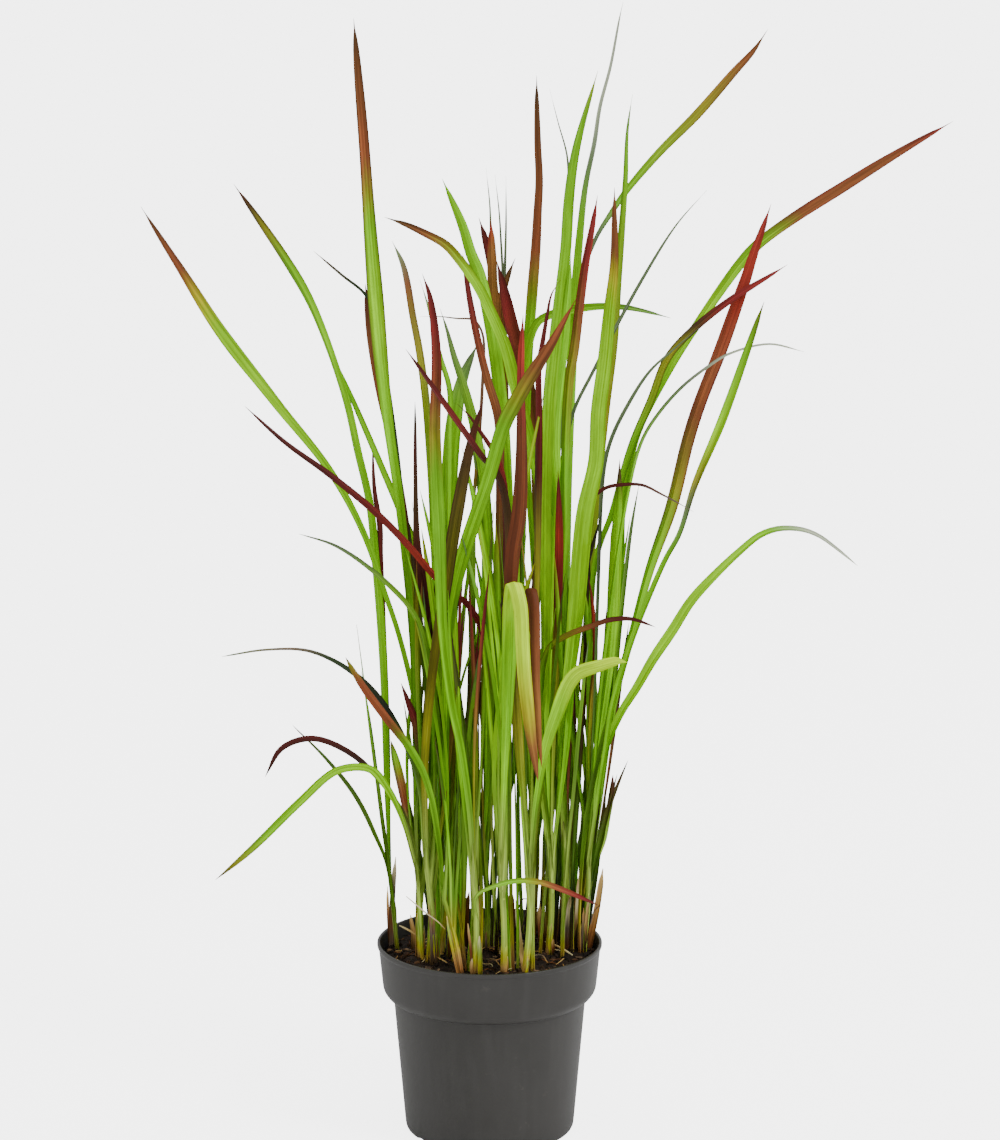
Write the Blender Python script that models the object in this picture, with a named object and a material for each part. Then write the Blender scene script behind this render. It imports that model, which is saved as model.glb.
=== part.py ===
"""Potted ornamental grass clump.

A clump of tall grass grows from a round moulded nursery pot.  Each shoot is a
slim stalk standing on the potting soil, and long narrow blades leave the top
of the stalks.  Some blades stand upright, some arch outwards and two are
folded over.  Metres, +Z up, origin at the centre of the pot's underside, and
the fuller, folded side of the clump faces -Y.
"""
import math

import bmesh
import bpy
import numpy as np

MM = 0.001

# ---- driving dimensions of the pot (mm) ----
RIM_R = 65.0            # outer radius at the rim
POT_H = 112.0           # overall height
COLLAR_Z = 80.0         # underside of the deep collar
BODY_TOP_R = 55.7       # body radius just under the collar
BODY_FOOT_R = 49.3      # body radius above the rounded foot
WALL = 1.2
FOOT_IN_R = 38.5        # inner edge of the foot ring
BOSS_R = 14.0           # middle boss, level with the foot ring
FLOOR_RAISE = 2.2       # how far the floor between them is raised
NOTCH_COUNT = 8         # drainage notches through the heel
NOTCH_PHASE = 34.0      # degrees
NOTCH_SIZE = (9.0, 9.0, 4.2)
DRAIN_R = 3.0           # drainage holes through the raised floor
DRAIN_RING_R = 26.0
TURNS = 48              # facets round the pot

# ---- soil and plant (mm) ----
SOIL_Z = 105.0
FIT_GAP = 0.3           # clear space between pieces that touch
BLADE_T = 0.9           # thickness at the midrib
CLEAR = 0.7             # space kept between crossing blades
STACK = 2.1             # spacing of the blade feet on one stalk

# ---- colours: linear base colours of the living and the dry parts ----
TINTS = {
    "lime": (0.30, 0.52, 0.04),
    "green": (0.16, 0.34, 0.03),
    "dark_green": (0.07, 0.20, 0.02),
    "olive": (0.26, 0.28, 0.04),
    "brown": (0.22, 0.09, 0.03),
    "crimson": (0.26, 0.03, 0.03),
    "maroon": (0.10, 0.02, 0.025),
    "stalk": (0.34, 0.48, 0.08),
    "dry": (0.20, 0.12, 0.06),
}

# ---- stalks: root x, y; top x, y, z; diameter at root and at top; tint ----
SHOOTS = {
    "shoot_01": ((-57, 16), (-58, 17, 142), 3.4, 2.6, "dry"),
    "shoot_02": ((-40, -12), (-41.5, -11, 158), 5.2, 4.4, "stalk"),
    "shoot_03": ((-32, -22), (-36, -20, 165), 7.0, 5.6, "stalk"),
    "shoot_04": ((-30, 4), (-29, 6, 155), 5.0, 4.4, "stalk"),
    "shoot_05": ((-23, -11), (-24, -9, 162), 5.2, 4.4, "dark_green"),
    "shoot_06": ((-8, -41), (-9, -39, 165), 6.0, 5.0, "stalk"),
    "shoot_07": ((-16, -40), (-26, -34, 148), 4.6, 3.8, "olive"),
    "shoot_08": ((-2, 4), (-3, 6, 160), 6.0, 5.0, "dark_green"),
    "shoot_09": ((8, -40), (6, -38, 165), 6.0, 5.0, "stalk"),
    "shoot_10": ((20, -40), (23, -38, 165), 6.0, 4.8, "stalk"),
    "shoot_11": ((34, -4), (35, -4, 160), 6.0, 5.0, "stalk"),
    "shoot_12": ((44, 8), (43, 7, 168), 7.4, 6.0, "stalk"),
    "shoot_13": ((54, 2), (57, 2, 160), 4.6, 4.0, "stalk"),
    "shoot_14": ((56, 14), (60, 14, 160), 4.4, 3.8, "stalk"),
    "shoot_15": ((-18, 32), (-21, 38, 160), 5.6, 4.6, "dark_green"),
    "shoot_16": ((4, 40), (6, 48, 160), 5.6, 4.8, "dark_green"),
    "shoot_17": ((24, 34), (28, 42, 160), 5.6, 4.6, "green"),
    "shoot_18": ((40, 27), (44, 32, 160), 5.6, 4.6, "green"),
}

# ---- blades: stalk, full width, facing (deg), twist (deg), tint, route to the tip ----
# facing turns the flat side away from -Y, and twist adds to it along the blade.
BLADES = {
    "leaf_olive_left": ("shoot_01", 7.0, 15, 20, "olive", [
        (-60, 19, 200), (-62.5, 22, 285), (-66, 25, 331), (-69.5, 27, 365), (-76, 28, 394),
        (-82, 29, 422), (-91, 31, 450), (-103, 34, 479), (-117, 36, 503), (-145, 41, 544)]),
    "leaf_low_left": ("shoot_01", 5.5, 20, 30, "dark_green", [
        (-61, 14, 158), (-66, 12, 172), (-77, 8, 197), (-93, 3, 219), (-112, -4, 240)]),
    "leaf_lime_arch_left": ("shoot_02", 8.0, 15, 15, "lime", [
        (-44, -14, 168), (-48, -16, 185), (-56, -18, 206), (-67, -20, 220), (-86, -24, 220),
        (-107, -28, 202), (-132, -32, 178), (-154, -35, 158)]),
    "leaf_tall_left": ("shoot_02", 9.0, -10, 25, "green", [
        (-42, -10, 233), (-43.5, -6, 289), (-50, 0, 364), (-56.5, 6, 410), (-60.5, 12, 445),
        (-66, 22, 509), (-70, 30, 564), (-76, 38, 636)]),
    "leaf_purple_arch_left": ("shoot_02", 4.2, 10, 15, "maroon", [
        (-43, -11, 170), (-48, -10, 188), (-60, -10, 206), (-78, -9, 224), (-100, -8, 233),
        (-118, -6, 227), (-128, -5, 210)]),
    "leaf_dark_brown": ("shoot_03", 7.5, 20, -20, "brown", [
        (-36, -24, 222), (-31, -30, 278), (-24, -35, 325), (-18, -39, 365), (-9, -43, 410),
        (-3, -45, 430)]),
    "leaf_dark_arch_left": ("shoot_03", 4.0, 12, 15, "dark_green", [
        (-41, -19, 215), (-58, -20, 252), (-76, -21, 273), (-100, -21, 286), (-125, -20, 287),
        (-150, -19, 283)]),
    "leaf_outer_left": ("shoot_04", 9.5, 25, 20, "olive", [
        (-38, 8, 228), (-51, 12, 289), (-60, 16, 316), (-71, 20, 348), (-90, 25, 383),
        (-121, 32, 421), (-155, 40, 464), (-177, 45, 498), (-199, 50, 531)]),
    "leaf_maroon_left": ("shoot_05", 8.0, -15, -20, "maroon", [
        (-28, -6, 225), (-32, -2, 280), (-36, 2, 308), (-41, 6, 338), (-42, 10, 380),
        (-42, 14, 423)]),
    "leaf_diagonal_front": ("shoot_05", 9.0, 15, 25, "green", [
        (-24, -18, 235), (-21, -28, 308), (-14, -38, 342), (-1, -50, 383), (9, -59, 418),
        (18, -66, 436), (27, -73, 452), (34, -79, 464), (46, -90, 488)]),
    "leaf_olive_arch_left": ("shoot_05", 5.0, 12, 15, "olive", [
        (-27, -13, 220), (-33, -16, 272), (-41, -19, 305), (-57, -22, 325), (-84, -26, 346),
        (-105, -29, 354)]),
    "leaf_broad_left": ("shoot_06", 8.5, 20, -30, "green", [
        (-11, -38, 200), (-15, -38, 233), (-20, -40, 259), (-25, -43, 301), (-27, -48, 353),
        (-29, -57, 413), (-28, -65, 457), (-31, -71, 487), (-35, -75, 500)]),
    "leaf_short_red_left": ("shoot_02", 6.0, 10, 15, "crimson", [
        (-43, -8, 170), (-46, -4, 182), (-49, -5, 197), (-52, -6, 212), (-56, -7, 232)]),
    "leaf_short_orange_left": ("shoot_07", 7.0, 25, 10, "brown", [
        (-28, -33, 180), (-32, -32, 205), (-37, -31, 221), (-44, -31, 234), (-53, -31, 246),
        (-62, -31, 258), (-70, -31, 269), (-80, -31, 285)]),
    "leaf_crimson_arch_left": ("shoot_08", 6.0, 12, 12, "crimson", [
        (0, 4, 219), (1, -3, 254), (-1, -8, 286), (-10, -13, 310), (-28, -18, 327),
        (-43, -20, 345), (-63, -22, 366), (-88, -25, 387), (-112, -28, 405), (-134, -30, 425)]),
    "leaf_crimson_inner_left": ("shoot_08", 6.0, -20, 25, "crimson", [
        (0, 8, 230), (4, 10, 289), (5, 11, 331), (6, 12, 380), (5, 13, 414), (-1, 14, 435),
        (-6, 16, 455), (-11, 18, 480), (-15, 20, 506)]),
    "leaf_bowed_green": ("shoot_15", 8.5, 25, -25, "dark_green", [
        (-24, 40, 235), (-26, 43, 310), (-24, 47, 355), (-21, 52, 404), (-16, 56, 431),
        (-7, 60, 452)]),
    "leaf_olive_tip_left": ("shoot_15", 5.5, -20, -20, "olive", [
        (-28, 46, 240), (-32, 56, 320), (-34, 66, 377), (-37, 76, 417), (-41, 84, 446),
        (-45, 91, 465), (-51, 99, 495), (-58, 105, 509)]),
    "leaf_folded_centre": ("shoot_09", 8.5, 5, 10, "lime", [
        (9, -40, 235), (11, -42, 288), (12, -46, 320), (13.5, -51, 331), (17, -57, 320),
        (18.5, -60, 299), (19.5, -62, 281), (21, -62, 265), (23.5, -61, 244), (27, -60, 221)]),
    "leaf_crimson_diagonal": ("shoot_09", 6.0, 15, 15, "crimson", [
        (8, -34, 240), (11, -29, 315), (9, -29, 371), (4, -36, 388), (-4, -49, 399),
        (-14, -60, 415), (-27, -70, 435), (-44, -73, 460)]),
    "leaf_bent_lime": ("shoot_10", 7.0, 15, 15, "lime", [
        (26, -39, 203), (32, -40, 238), (37, -41, 254), (40, -42, 263), (44, -43, 273),
        (49, -44, 279), (60, -45, 283), (71, -46, 286), (76, -46, 285)]),
    "leaf_crimson_centre": ("shoot_10", 9.0, -10, -20, "crimson", [
        (17, -35, 235), (13, -37, 310), (14, -40, 345), (17, -42, 366), (18, -43, 389),
        (18, -43, 414), (17.5, -43, 443), (18.5, -43, 476)]),
    "leaf_purple_tip_low": ("shoot_11", 4.5, 15, 15, "green", [
        (30, -8, 235), (33, -16, 286), (44, -22, 296), (57, -27, 302), (67, -30, 306),
        (79, -33, 307), (92, -36, 303)]),
    "leaf_lime_centre_right": ("shoot_11", 9.0, 20, 20, "lime", [
        (31, 0, 254), (31, 4, 312), (31, 9, 369), (33, 14, 425), (36, 18, 453), (39, 21, 481),
        (42, 24, 508), (44, 27, 536), (47, 30, 558), (51, 33, 575), (61, 37, 607)]),
    "leaf_broad_right": ("shoot_12", 10.5, 12, 20, "lime", [
        (42, 0, 232), (45, -7, 264), (49, -15, 304), (52, -24, 348), (54, -29, 369),
        (59, -36, 395), (60, -43, 423), (63, -50, 451), (65, -57, 479), (67, -64, 505),
        (66, -74, 545)]),
    "leaf_crimson_edged": ("shoot_12", 6.0, -15, 25, "green", [
        (42, 12, 254), (42, 14, 315), (43, 16, 352), (43, 18, 389), (45, 20, 434),
        (48, 22, 452), (51, 24, 477), (54, 26, 499), (58, 28, 521), (61, 30, 538)]),
    "leaf_green_right": ("shoot_13", 5.4, 15, 15, "green", [
        (66, -2, 225), (70, -6, 253), (81, -10, 292), (92, -15, 322), (99, -18, 339),
        (106, -21, 353), (114, -25, 381), (128, -30, 417), (140, -35, 454), (149, -40, 483)]),
    "leaf_purple_right": ("shoot_13", 5.4, 15, 15, "maroon", [
        (57, 8, 254), (60, 12, 329), (64, 14, 344), (69, 16, 356), (81, 19, 397),
        (92, 22, 423), (101, 24, 446), (115, 26, 462), (136, 29, 479), (159, 32, 493),
        (169, 34, 499)]),
    "leaf_thin_arch_right": ("shoot_13", 3.6, 15, 15, "green", [
        (62, 0, 250), (69, -3, 313), (77, -6, 371), (85, -10, 404), (95, -14, 421),
        (107, -18, 435), (119, -21, 445), (131, -24, 453), (153, -28, 459), (172, -31, 455)]),
    "leaf_red_right": ("shoot_14", 8.5, 10, 25, "crimson", [
        (63, 14, 184), (71, 14, 248), (81, 15, 288), (91, 16, 327), (103, 17, 363),
        (112, 19, 400), (118, 21, 419), (132, 24, 455), (144, 27, 489), (149, 29, 505),
        (159, 32, 533)]),
    "leaf_outer_right": ("shoot_14", 8.0, 15, 20, "green", [
        (66, 18, 216), (72, 22, 279), (76, 25, 318), (77, 28, 363), (82, 30, 391),
        (87, 32, 407), (105, 36, 442), (124, 40, 472), (142, 44, 497), (152, 46, 508),
        (174, 50, 524), (203, 55, 542), (238, 61, 563), (266, 66, 579)]),
    "leaf_arching_right": ("shoot_14", 5.5, 20, 15, "lime", [
        (66, 7, 220), (75, 0, 246), (84, -7, 263), (93, -13, 281), (103, -19, 298),
        (113, -25, 316), (126, -30, 332), (138, -35, 345), (149, -39, 355), (159, -42, 359),
        (171, -45, 359), (180, -48, 356), (190, -50, 349), (201, -52, 340)]),
    "leaf_lime_upper": ("shoot_16", 8.0, -15, 15, "lime", [
        (11, 50, 240), (13, 55, 302), (11, 61, 368), (7, 67, 416), (1, 73, 459),
        (-6, 79, 491), (-11, 83, 503), (-16, 87, 519), (-28, 94, 546)]),
    "leaf_tall_centre": ("shoot_16", 7.0, 15, 25, "green", [
        (15, 52, 218), (18, 54, 300), (21, 56, 387), (23, 58, 449), (25, 60, 477),
        (27, 62, 505), (28, 64, 526), (29, 66, 545), (28, 68, 566), (27, 72, 605)]),
    "leaf_russet_centre": ("shoot_16", 8.0, 15, -15, "brown", [
        (22, 60, 240), (28, 66, 309), (28.5, 70, 364), (25, 73, 410), (19, 75, 440),
        (13, 77, 461), (8.5, 78, 481), (4, 79, 499)]),
    "leaf_level_right": ("shoot_17", 4.8, 15, 15, "green", [
        (28, 44, 280), (22, 46, 390), (21, 47, 440), (27, 47, 464), (34, 47, 469),
        (59, 46, 474), (76, 45, 474), (88, 44, 472), (104, 43, 468)]),
    "leaf_thin_reaching": ("shoot_17", 5.0, -25, 25, "olive", [
        (40, 46, 245), (45, 50, 345), (46, 54, 421), (50, 57, 478), (61, 59, 512),
        (70, 60, 527), (79, 61, 540), (97, 62, 561), (119, 64, 583), (140, 65, 607),
        (151, 66, 619), (159, 67, 631)]),
    "leaf_broad_upper": ("shoot_18", 8.0, 15, -20, "green", [
        (46, 30, 243), (45, 20, 296), (40, 12, 332), (31, 4, 367), (23, -2, 402),
        (15, -6, 432), (9, -8, 456), (1, -8, 475), (-6, -8, 489), (-15, -8, 502),
        (-24, -7, 512), (-35, -6, 518), (-46, -5, 523), (-58, -4, 527)]),
    "leaf_tall_right": ("shoot_18", 5.5, -20, 25, "dark_green", [
        (44, 38, 245), (45, 44, 311), (46, 48, 384), (49, 52, 477), (52, 54, 517),
        (55, 56, 543), (60, 58, 567), (63, 59, 587), (69, 61, 610), (74, 62, 637),
        (76, 62, 646)]),
}


# ---------------------------------------------------------------- curves
def spline(points, steps=24):
    """Dense centripetal Catmull-Rom curve through the points."""
    p = np.array(points, float)
    p = np.vstack([2 * p[0] - p[1], p, 2 * p[-1] - p[-2]])
    out = []
    for a, b, c, d in zip(p[:-3], p[1:-2], p[2:-1], p[3:]):
        t1 = math.sqrt(np.linalg.norm(b - a))
        t2 = t1 + math.sqrt(np.linalg.norm(c - b))
        t3 = t2 + math.sqrt(np.linalg.norm(d - c))
        for t in np.linspace(t1, t2, steps, endpoint=False):
            ab = a * (t1 - t) / t1 + b * t / t1
            bc = b * (t2 - t) / (t2 - t1) + c * (t - t1) / (t2 - t1)
            cd = c * (t3 - t) / (t3 - t2) + d * (t - t2) / (t3 - t2)
            abc = ab * (t2 - t) / t2 + bc * t / t2
            bcd = bc * (t3 - t) / (t3 - t1) + cd * (t - t1) / (t3 - t1)
            out.append(abc * (t2 - t) / (t2 - t1) + bcd * (t - t1) / (t2 - t1))
    out.append(p[-2])
    return np.array(out)


def resample(curve, count, bend_weight=0.0):
    """Even samples along a curve, closer together where it turns sharply."""
    step = np.diff(curve, axis=0)
    length = np.linalg.norm(step, axis=1)
    direction = step / length[:, None]
    turn = np.zeros(len(length))
    turn[1:] = np.arccos(np.clip((direction[1:] * direction[:-1]).sum(1), -1, 1))
    along = np.concatenate([[0], np.cumsum(length + bend_weight * turn)])
    at = np.linspace(0, along[-1], count)
    return np.stack([np.interp(at, along, curve[:, k]) for k in range(3)], 1)


def frames(curve, facing, twist):
    """Tangent, width and face directions, carried along without spin and then twisted."""
    tangent = np.gradient(curve, axis=0)
    tangent /= np.linalg.norm(tangent, axis=1)[:, None]
    width = np.cross(tangent[0], (0, -1, 0))
    wide, face = [], []
    reach = np.concatenate([[0], np.cumsum(np.linalg.norm(np.diff(curve, axis=0), axis=1))])
    for t, s in zip(tangent, reach):
        width = width - t * width.dot(t)
        width = width / np.linalg.norm(width)
        normal = np.cross(width, t)
        turn = math.radians(facing * min(1.0, s / 60.0) + twist * s / reach[-1])
        wide.append(width * math.cos(turn) + normal * math.sin(turn))
        face.append(normal * math.cos(turn) - width * math.sin(turn))
    return tangent, np.array(wide), np.array(face)


def blade_width(s, full):
    """Narrow foot, widest past the middle, long pointed tip."""
    rise = min(1.0, s / 0.6)
    rise = 0.30 + 0.70 * rise * rise * (3 - 2 * rise)
    fall = 1.0 if s < 0.6 else 1.0 - ((s - 0.6) / 0.4) ** 2.4
    return max(0.7, full * rise * fall)


# ---------------------------------------------------------------- layout of the clump
def blade_routes():
    """Centreline of each blade, from its foot above the stalk to its tip."""
    routes = {}
    for shoot, (_, top, _, _, _) in SHOOTS.items():
        mine = [n for n, b in BLADES.items() if b[0] == shoot]
        mine.sort(key=lambda n: BLADES[n][5][1][1])
        for k, name in enumerate(mine):
            foot = (top[0], top[1] + STACK * (k - (len(mine) - 1) / 2), top[2] + 0.5)
            routes[name] = spline([foot] + BLADES[name][5])
    return routes


def part_blades(routes, rounds=120):
    """Ease crossing blades apart in depth until each pair has clear space."""
    names = list(routes)
    count = 30
    line = {n: resample(routes[n], count) for n in names}
    half, push_free = {}, {}
    for n in names:
        wide = frames(line[n], BLADES[n][2], BLADES[n][3])[1]
        width = np.array([blade_width(k / (count - 1), BLADES[n][1]) for k in range(count)])
        half[n] = (0.5 * width * np.sqrt(1 - wide[:, 1] ** 2), 0.5 * width * abs(wide[:, 1]))
        push_free[n] = np.clip(np.arange(count) / 3.0, 0, 1)
    for shoot, (root, top, d0, d1, _) in SHOOTS.items():
        t = np.linspace(0, 1, 9)[:, None]
        line[shoot] = np.array([[*root, SOIL_Z]]) * (1 - t) + np.array([top]) * t
        radius = 0.5 * (d0 + (d1 - d0) * t[:, 0])
        half[shoot] = (radius, radius)
        push_free[shoot] = np.zeros(9)
    shift = {n: np.zeros(len(line[n])) for n in line}
    pairs = []
    for i, a in enumerate(names):
        for b in names[i + 1:] + [s for s in SHOOTS if s != BLADES[a][0]]:
            flat = line[a][:, None, [0, 2]] - line[b][None, :, [0, 2]]
            apart = np.sqrt((flat ** 2).sum(2))
            spacing = 0.5 * max(np.linalg.norm(line[n][1] - line[n][0]) for n in (a, b))
            near = apart < half[a][0][:, None] + half[b][0][None, :] + spacing
            if near.any():
                depth = line[a][:, None, 1] - line[b][None, :, 1]
                side = 1.0 if depth[near].mean() >= 0 else -1.0
                need = BLADE_T + CLEAR + half[a][1][:, None] + half[b][1][None, :]
                pairs.append((a, b, near, side, need))
    for _ in range(rounds):
        push = {n: np.zeros(len(line[n])) for n in line}
        for a, b, near, side, need in pairs:
            depth = side * ((line[a][:, 1] + shift[a])[:, None]
                            - (line[b][:, 1] + shift[b])[None, :])
            lack = np.where(near, np.maximum(need - depth, 0), 0)
            share = 0.5 if b in BLADES else 1.0
            push[a] = push[a] + side * share * lack.max(1)
            push[b] = push[b] - side * share * lack.max(0)
        for n in names:
            move = push[n]
            for _ in range(3):
                move = np.convolve(np.pad(move, 1, mode="edge"), (0.25, 0.5, 0.25), "valid")
            shift[n] = shift[n] + 0.35 * move * push_free[n]
    moved = {}
    for n in names:
        reach = np.linalg.norm(np.diff(routes[n], axis=0), axis=1)
        reach = np.concatenate([[0], np.cumsum(reach)]) / reach.sum()
        moved[n] = routes[n].copy()
        moved[n][:, 1] += np.interp(reach, np.linspace(0, 1, count), shift[n])
    return moved


# ---------------------------------------------------------------- solids
def clear_scene():
    for obj in list(bpy.data.objects):
        bpy.data.objects.remove(obj, do_unlink=True)


def material(name, colour, roughness):
    mat = bpy.data.materials.new(name)
    mat.use_nodes = True
    bsdf = mat.node_tree.nodes["Principled BSDF"]
    bsdf.inputs["Base Color"].default_value = (*colour, 1.0)
    bsdf.inputs["Roughness"].default_value = roughness
    bsdf.inputs["Metallic"].default_value = 0.0
    return mat


def finish(name, bm, colour, roughness, parent, crease=35.0):
    bmesh.ops.recalc_face_normals(bm, faces=bm.faces)
    mesh = bpy.data.meshes.new(name)
    bm.to_mesh(mesh)
    bm.free()
    mesh.shade_smooth()
    mesh.set_sharp_from_angle(angle=math.radians(crease))
    obj = bpy.data.objects.new(name, mesh)
    bpy.context.collection.objects.link(obj)
    obj.data.materials.append(material(name, colour, roughness))
    obj.parent = parent
    return obj


def loft(rings):
    """Closed body through rings of equal count, with a face across each end."""
    bm = bmesh.new()
    loops = [[bm.verts.new(np.asarray(v) * MM) for v in ring] for ring in rings]
    for low, high in zip(loops, loops[1:]):
        for k in range(len(low)):
            n = (k + 1) % len(low)
            bm.faces.new((low[k], low[n], high[n], high[k]))
    bm.faces.new(loops[0][::-1])
    bm.faces.new(loops[-1])
    bmesh.ops.triangulate(bm, faces=bm.faces)
    return bm


def turned(profile, turns=TURNS):
    """Body turned about Z from a profile that starts and ends on the axis."""
    bm = bmesh.new()
    verts = [bm.verts.new((r * MM, 0, z * MM)) for r, z in profile]
    edges = [bm.edges.new(pair) for pair in zip(verts, verts[1:])]
    bmesh.ops.spin(bm, geom=verts + edges, cent=(0, 0, 0), axis=(0, 0, 1),
                   angle=math.tau, steps=turns, use_merge=True)
    bmesh.ops.remove_doubles(bm, verts=bm.verts, dist=1e-6)
    return bm


def pot_profile():
    collar_r = RIM_R - 3.2
    outer = [
        (0, 0), (BOSS_R, 0), (BOSS_R + 1.4, FLOOR_RAISE), (FOOT_IN_R - 1.4, FLOOR_RAISE),
        (FOOT_IN_R, 0), (BODY_FOOT_R - 3.6, 0), (BODY_FOOT_R - 1.6, 0.9),
        (BODY_FOOT_R - 0.4, 2.8), (BODY_FOOT_R, 5.5), (BODY_TOP_R, COLLAR_Z),
        (BODY_TOP_R + 2.4, COLLAR_Z + 1.0), (collar_r - 0.9, COLLAR_Z + 3.6),
        (collar_r, COLLAR_Z + 7.4), (RIM_R - 0.9, POT_H - 3.0), (RIM_R, POT_H - 2.0),
        (RIM_R, POT_H - 0.6), (RIM_R - 0.5, POT_H)]
    inner = [
        (RIM_R - 1.6, POT_H), (RIM_R - 0.9 - WALL, POT_H - 2.0),
        (collar_r - WALL, COLLAR_Z + 7.4), (collar_r - 2.2, COLLAR_Z + 4.4),
        (BODY_TOP_R + 0.8, COLLAR_Z + 2.2), (BODY_TOP_R - WALL, COLLAR_Z),
        (BODY_FOOT_R - WALL, 5.5), (BODY_FOOT_R - 1.9, 2.6), (BODY_FOOT_R - 3.9, WALL + 0.1),
        (FOOT_IN_R + 0.8, WALL + 0.1), (FOOT_IN_R - 0.8, FLOOR_RAISE + WALL),
        (BOSS_R + 0.8, FLOOR_RAISE + WALL), (BOSS_R - 0.8, WALL + 0.1), (0, WALL + 0.1)]
    return outer + inner


def make_pot(parent):
    pot = finish("pot", turned(pot_profile()), (0.060, 0.056, 0.050), 0.48, parent, 30.0)
    bm = bmesh.new()
    for k in range(NOTCH_COUNT):
        angle = math.radians(NOTCH_PHASE + 360.0 / NOTCH_COUNT * k)
        made = bmesh.ops.create_cube(bm, size=1.0)["verts"]
        bmesh.ops.scale(bm, vec=[s * MM for s in NOTCH_SIZE], verts=made)
        bmesh.ops.translate(bm, verts=made, vec=(
            (BODY_FOOT_R + 0.6) * MM, 0, (NOTCH_SIZE[2] / 2 - 1.5) * MM))
        spin = ((math.cos(angle), -math.sin(angle)), (math.sin(angle), math.cos(angle)))
        for v in made:
            x, y = v.co.x, v.co.y
            v.co.x = spin[0][0] * x + spin[0][1] * y
            v.co.y = spin[1][0] * x + spin[1][1] * y
        drain = bmesh.ops.create_cone(bm, cap_ends=True, segments=12, radius1=DRAIN_R * MM,
                                      radius2=DRAIN_R * MM, depth=8 * MM)["verts"]
        half = angle + math.radians(180.0 / NOTCH_COUNT)
        bmesh.ops.translate(bm, verts=drain, vec=(
            DRAIN_RING_R * math.cos(half) * MM, DRAIN_RING_R * math.sin(half) * MM, 2 * MM))
    mesh = bpy.data.meshes.new("pot_drainage_cutter")
    bm.to_mesh(mesh)
    bm.free()
    cutter = bpy.data.objects.new("pot_drainage_cutter", mesh)
    bpy.context.collection.objects.link(cutter)
    cutter.parent = parent
    cutter.hide_render = True
    cutter.display_type = "WIRE"
    cut = pot.modifiers.new("drainage", "BOOLEAN")
    cut.operation = "DIFFERENCE"
    cut.object = cutter


def make_soil(parent):
    """Root ball and soil: follows the inside of the pot, with a worn edge at the wall."""
    def inside(z):
        low, high = BODY_FOOT_R - WALL, BODY_TOP_R - WALL
        return low + (high - low) * (z - 5.5) / (COLLAR_Z - 5.5) - FIT_GAP
    collar = RIM_R - 3.2 - WALL
    slope = (RIM_R - 0.9 - collar - WALL) / (POT_H - 2.0 - COLLAR_Z - 7.4)
    edge = collar + slope * (SOIL_Z - 1.6 - COLLAR_Z - 7.4) - FIT_GAP
    floor = FLOOR_RAISE + WALL + FIT_GAP
    profile = [(0, floor), (inside(5.5) - 2.2, floor), (inside(7.0), 7.0),
               (inside(COLLAR_Z), COLLAR_Z), (BODY_TOP_R + 0.2, COLLAR_Z + 3.2),
               (collar - 1.6, COLLAR_Z + 5.2), (collar - FIT_GAP - 0.1, COLLAR_Z + 8.0),
               (edge, SOIL_Z - 1.6), (edge - 2.4, SOIL_Z), (0, SOIL_Z)]
    return finish("soil", turned(profile), (0.030, 0.018, 0.012), 0.95, parent)


def make_shoot(name, parent):
    root, top, d0, d1, tint = SHOOTS[name]
    start = np.array([root[0], root[1], SOIL_Z + FIT_GAP])
    end = np.array([*top], float)
    rings = []
    for t in (0, 0.12, 0.55, 1.0):
        centre = start + (end - start) * t
        centre[0] += 1.2 * math.sin(math.pi * t)
        radius = 0.5 * (d0 + (d1 - d0) * t) * (1.08 if t == 0 else 1.0)
        ring = []
        for k in range(8):
            a = math.tau * k / 8
            ring.append(centre + (radius * math.cos(a), 0.86 * radius * math.sin(a), 0))
        rings.append(ring)
    return finish(name, loft(rings), TINTS[tint], 0.5, parent)


def make_blade(name, route, parent):
    _, full, facing, twist, tint = BLADES[name][:5]
    length = np.linalg.norm(np.diff(route, axis=0), axis=1).sum()
    count = int(np.clip(round(length / 30), 8, 15))
    curve = resample(route, count + 1, bend_weight=34.0)
    _, wide, face = frames(curve, facing, twist)
    reach = np.concatenate([[0], np.cumsum(np.linalg.norm(np.diff(curve, axis=0), axis=1))])
    rings = []
    for point, w, n, s in zip(curve, wide, face, reach / reach[-1]):
        half = 0.5 * blade_width(s, full)
        thick = 0.5 * BLADE_T * (1.0 - 0.6 * s)
        fold = 0.10 * half
        rings.append([point - w * half + n * fold, point - n * thick,
                      point + w * half + n * fold, point + n * thick])
    return finish(name, loft(rings), TINTS[tint], 0.45, parent, 60.0)


def main():
    clear_scene()
    clump = bpy.data.objects.new("grass_in_pot", None)
    bpy.context.collection.objects.link(clump)
    make_pot(clump)
    make_soil(clump)
    for name in SHOOTS:
        make_shoot(name, clump)
    for name, route in part_blades(blade_routes()).items():
        make_blade(name, route, clump)


main()
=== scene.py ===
"""Visual model of the potted ornamental grass clump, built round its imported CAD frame.

Lengths are in millimetres until a mesh is made.  Every blade is a thin closed
strip on the same route as its CAD solid: rolled round its stalk at the foot, a
shallow open fold along most of its length, and a long pointed tip.
"""

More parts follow.
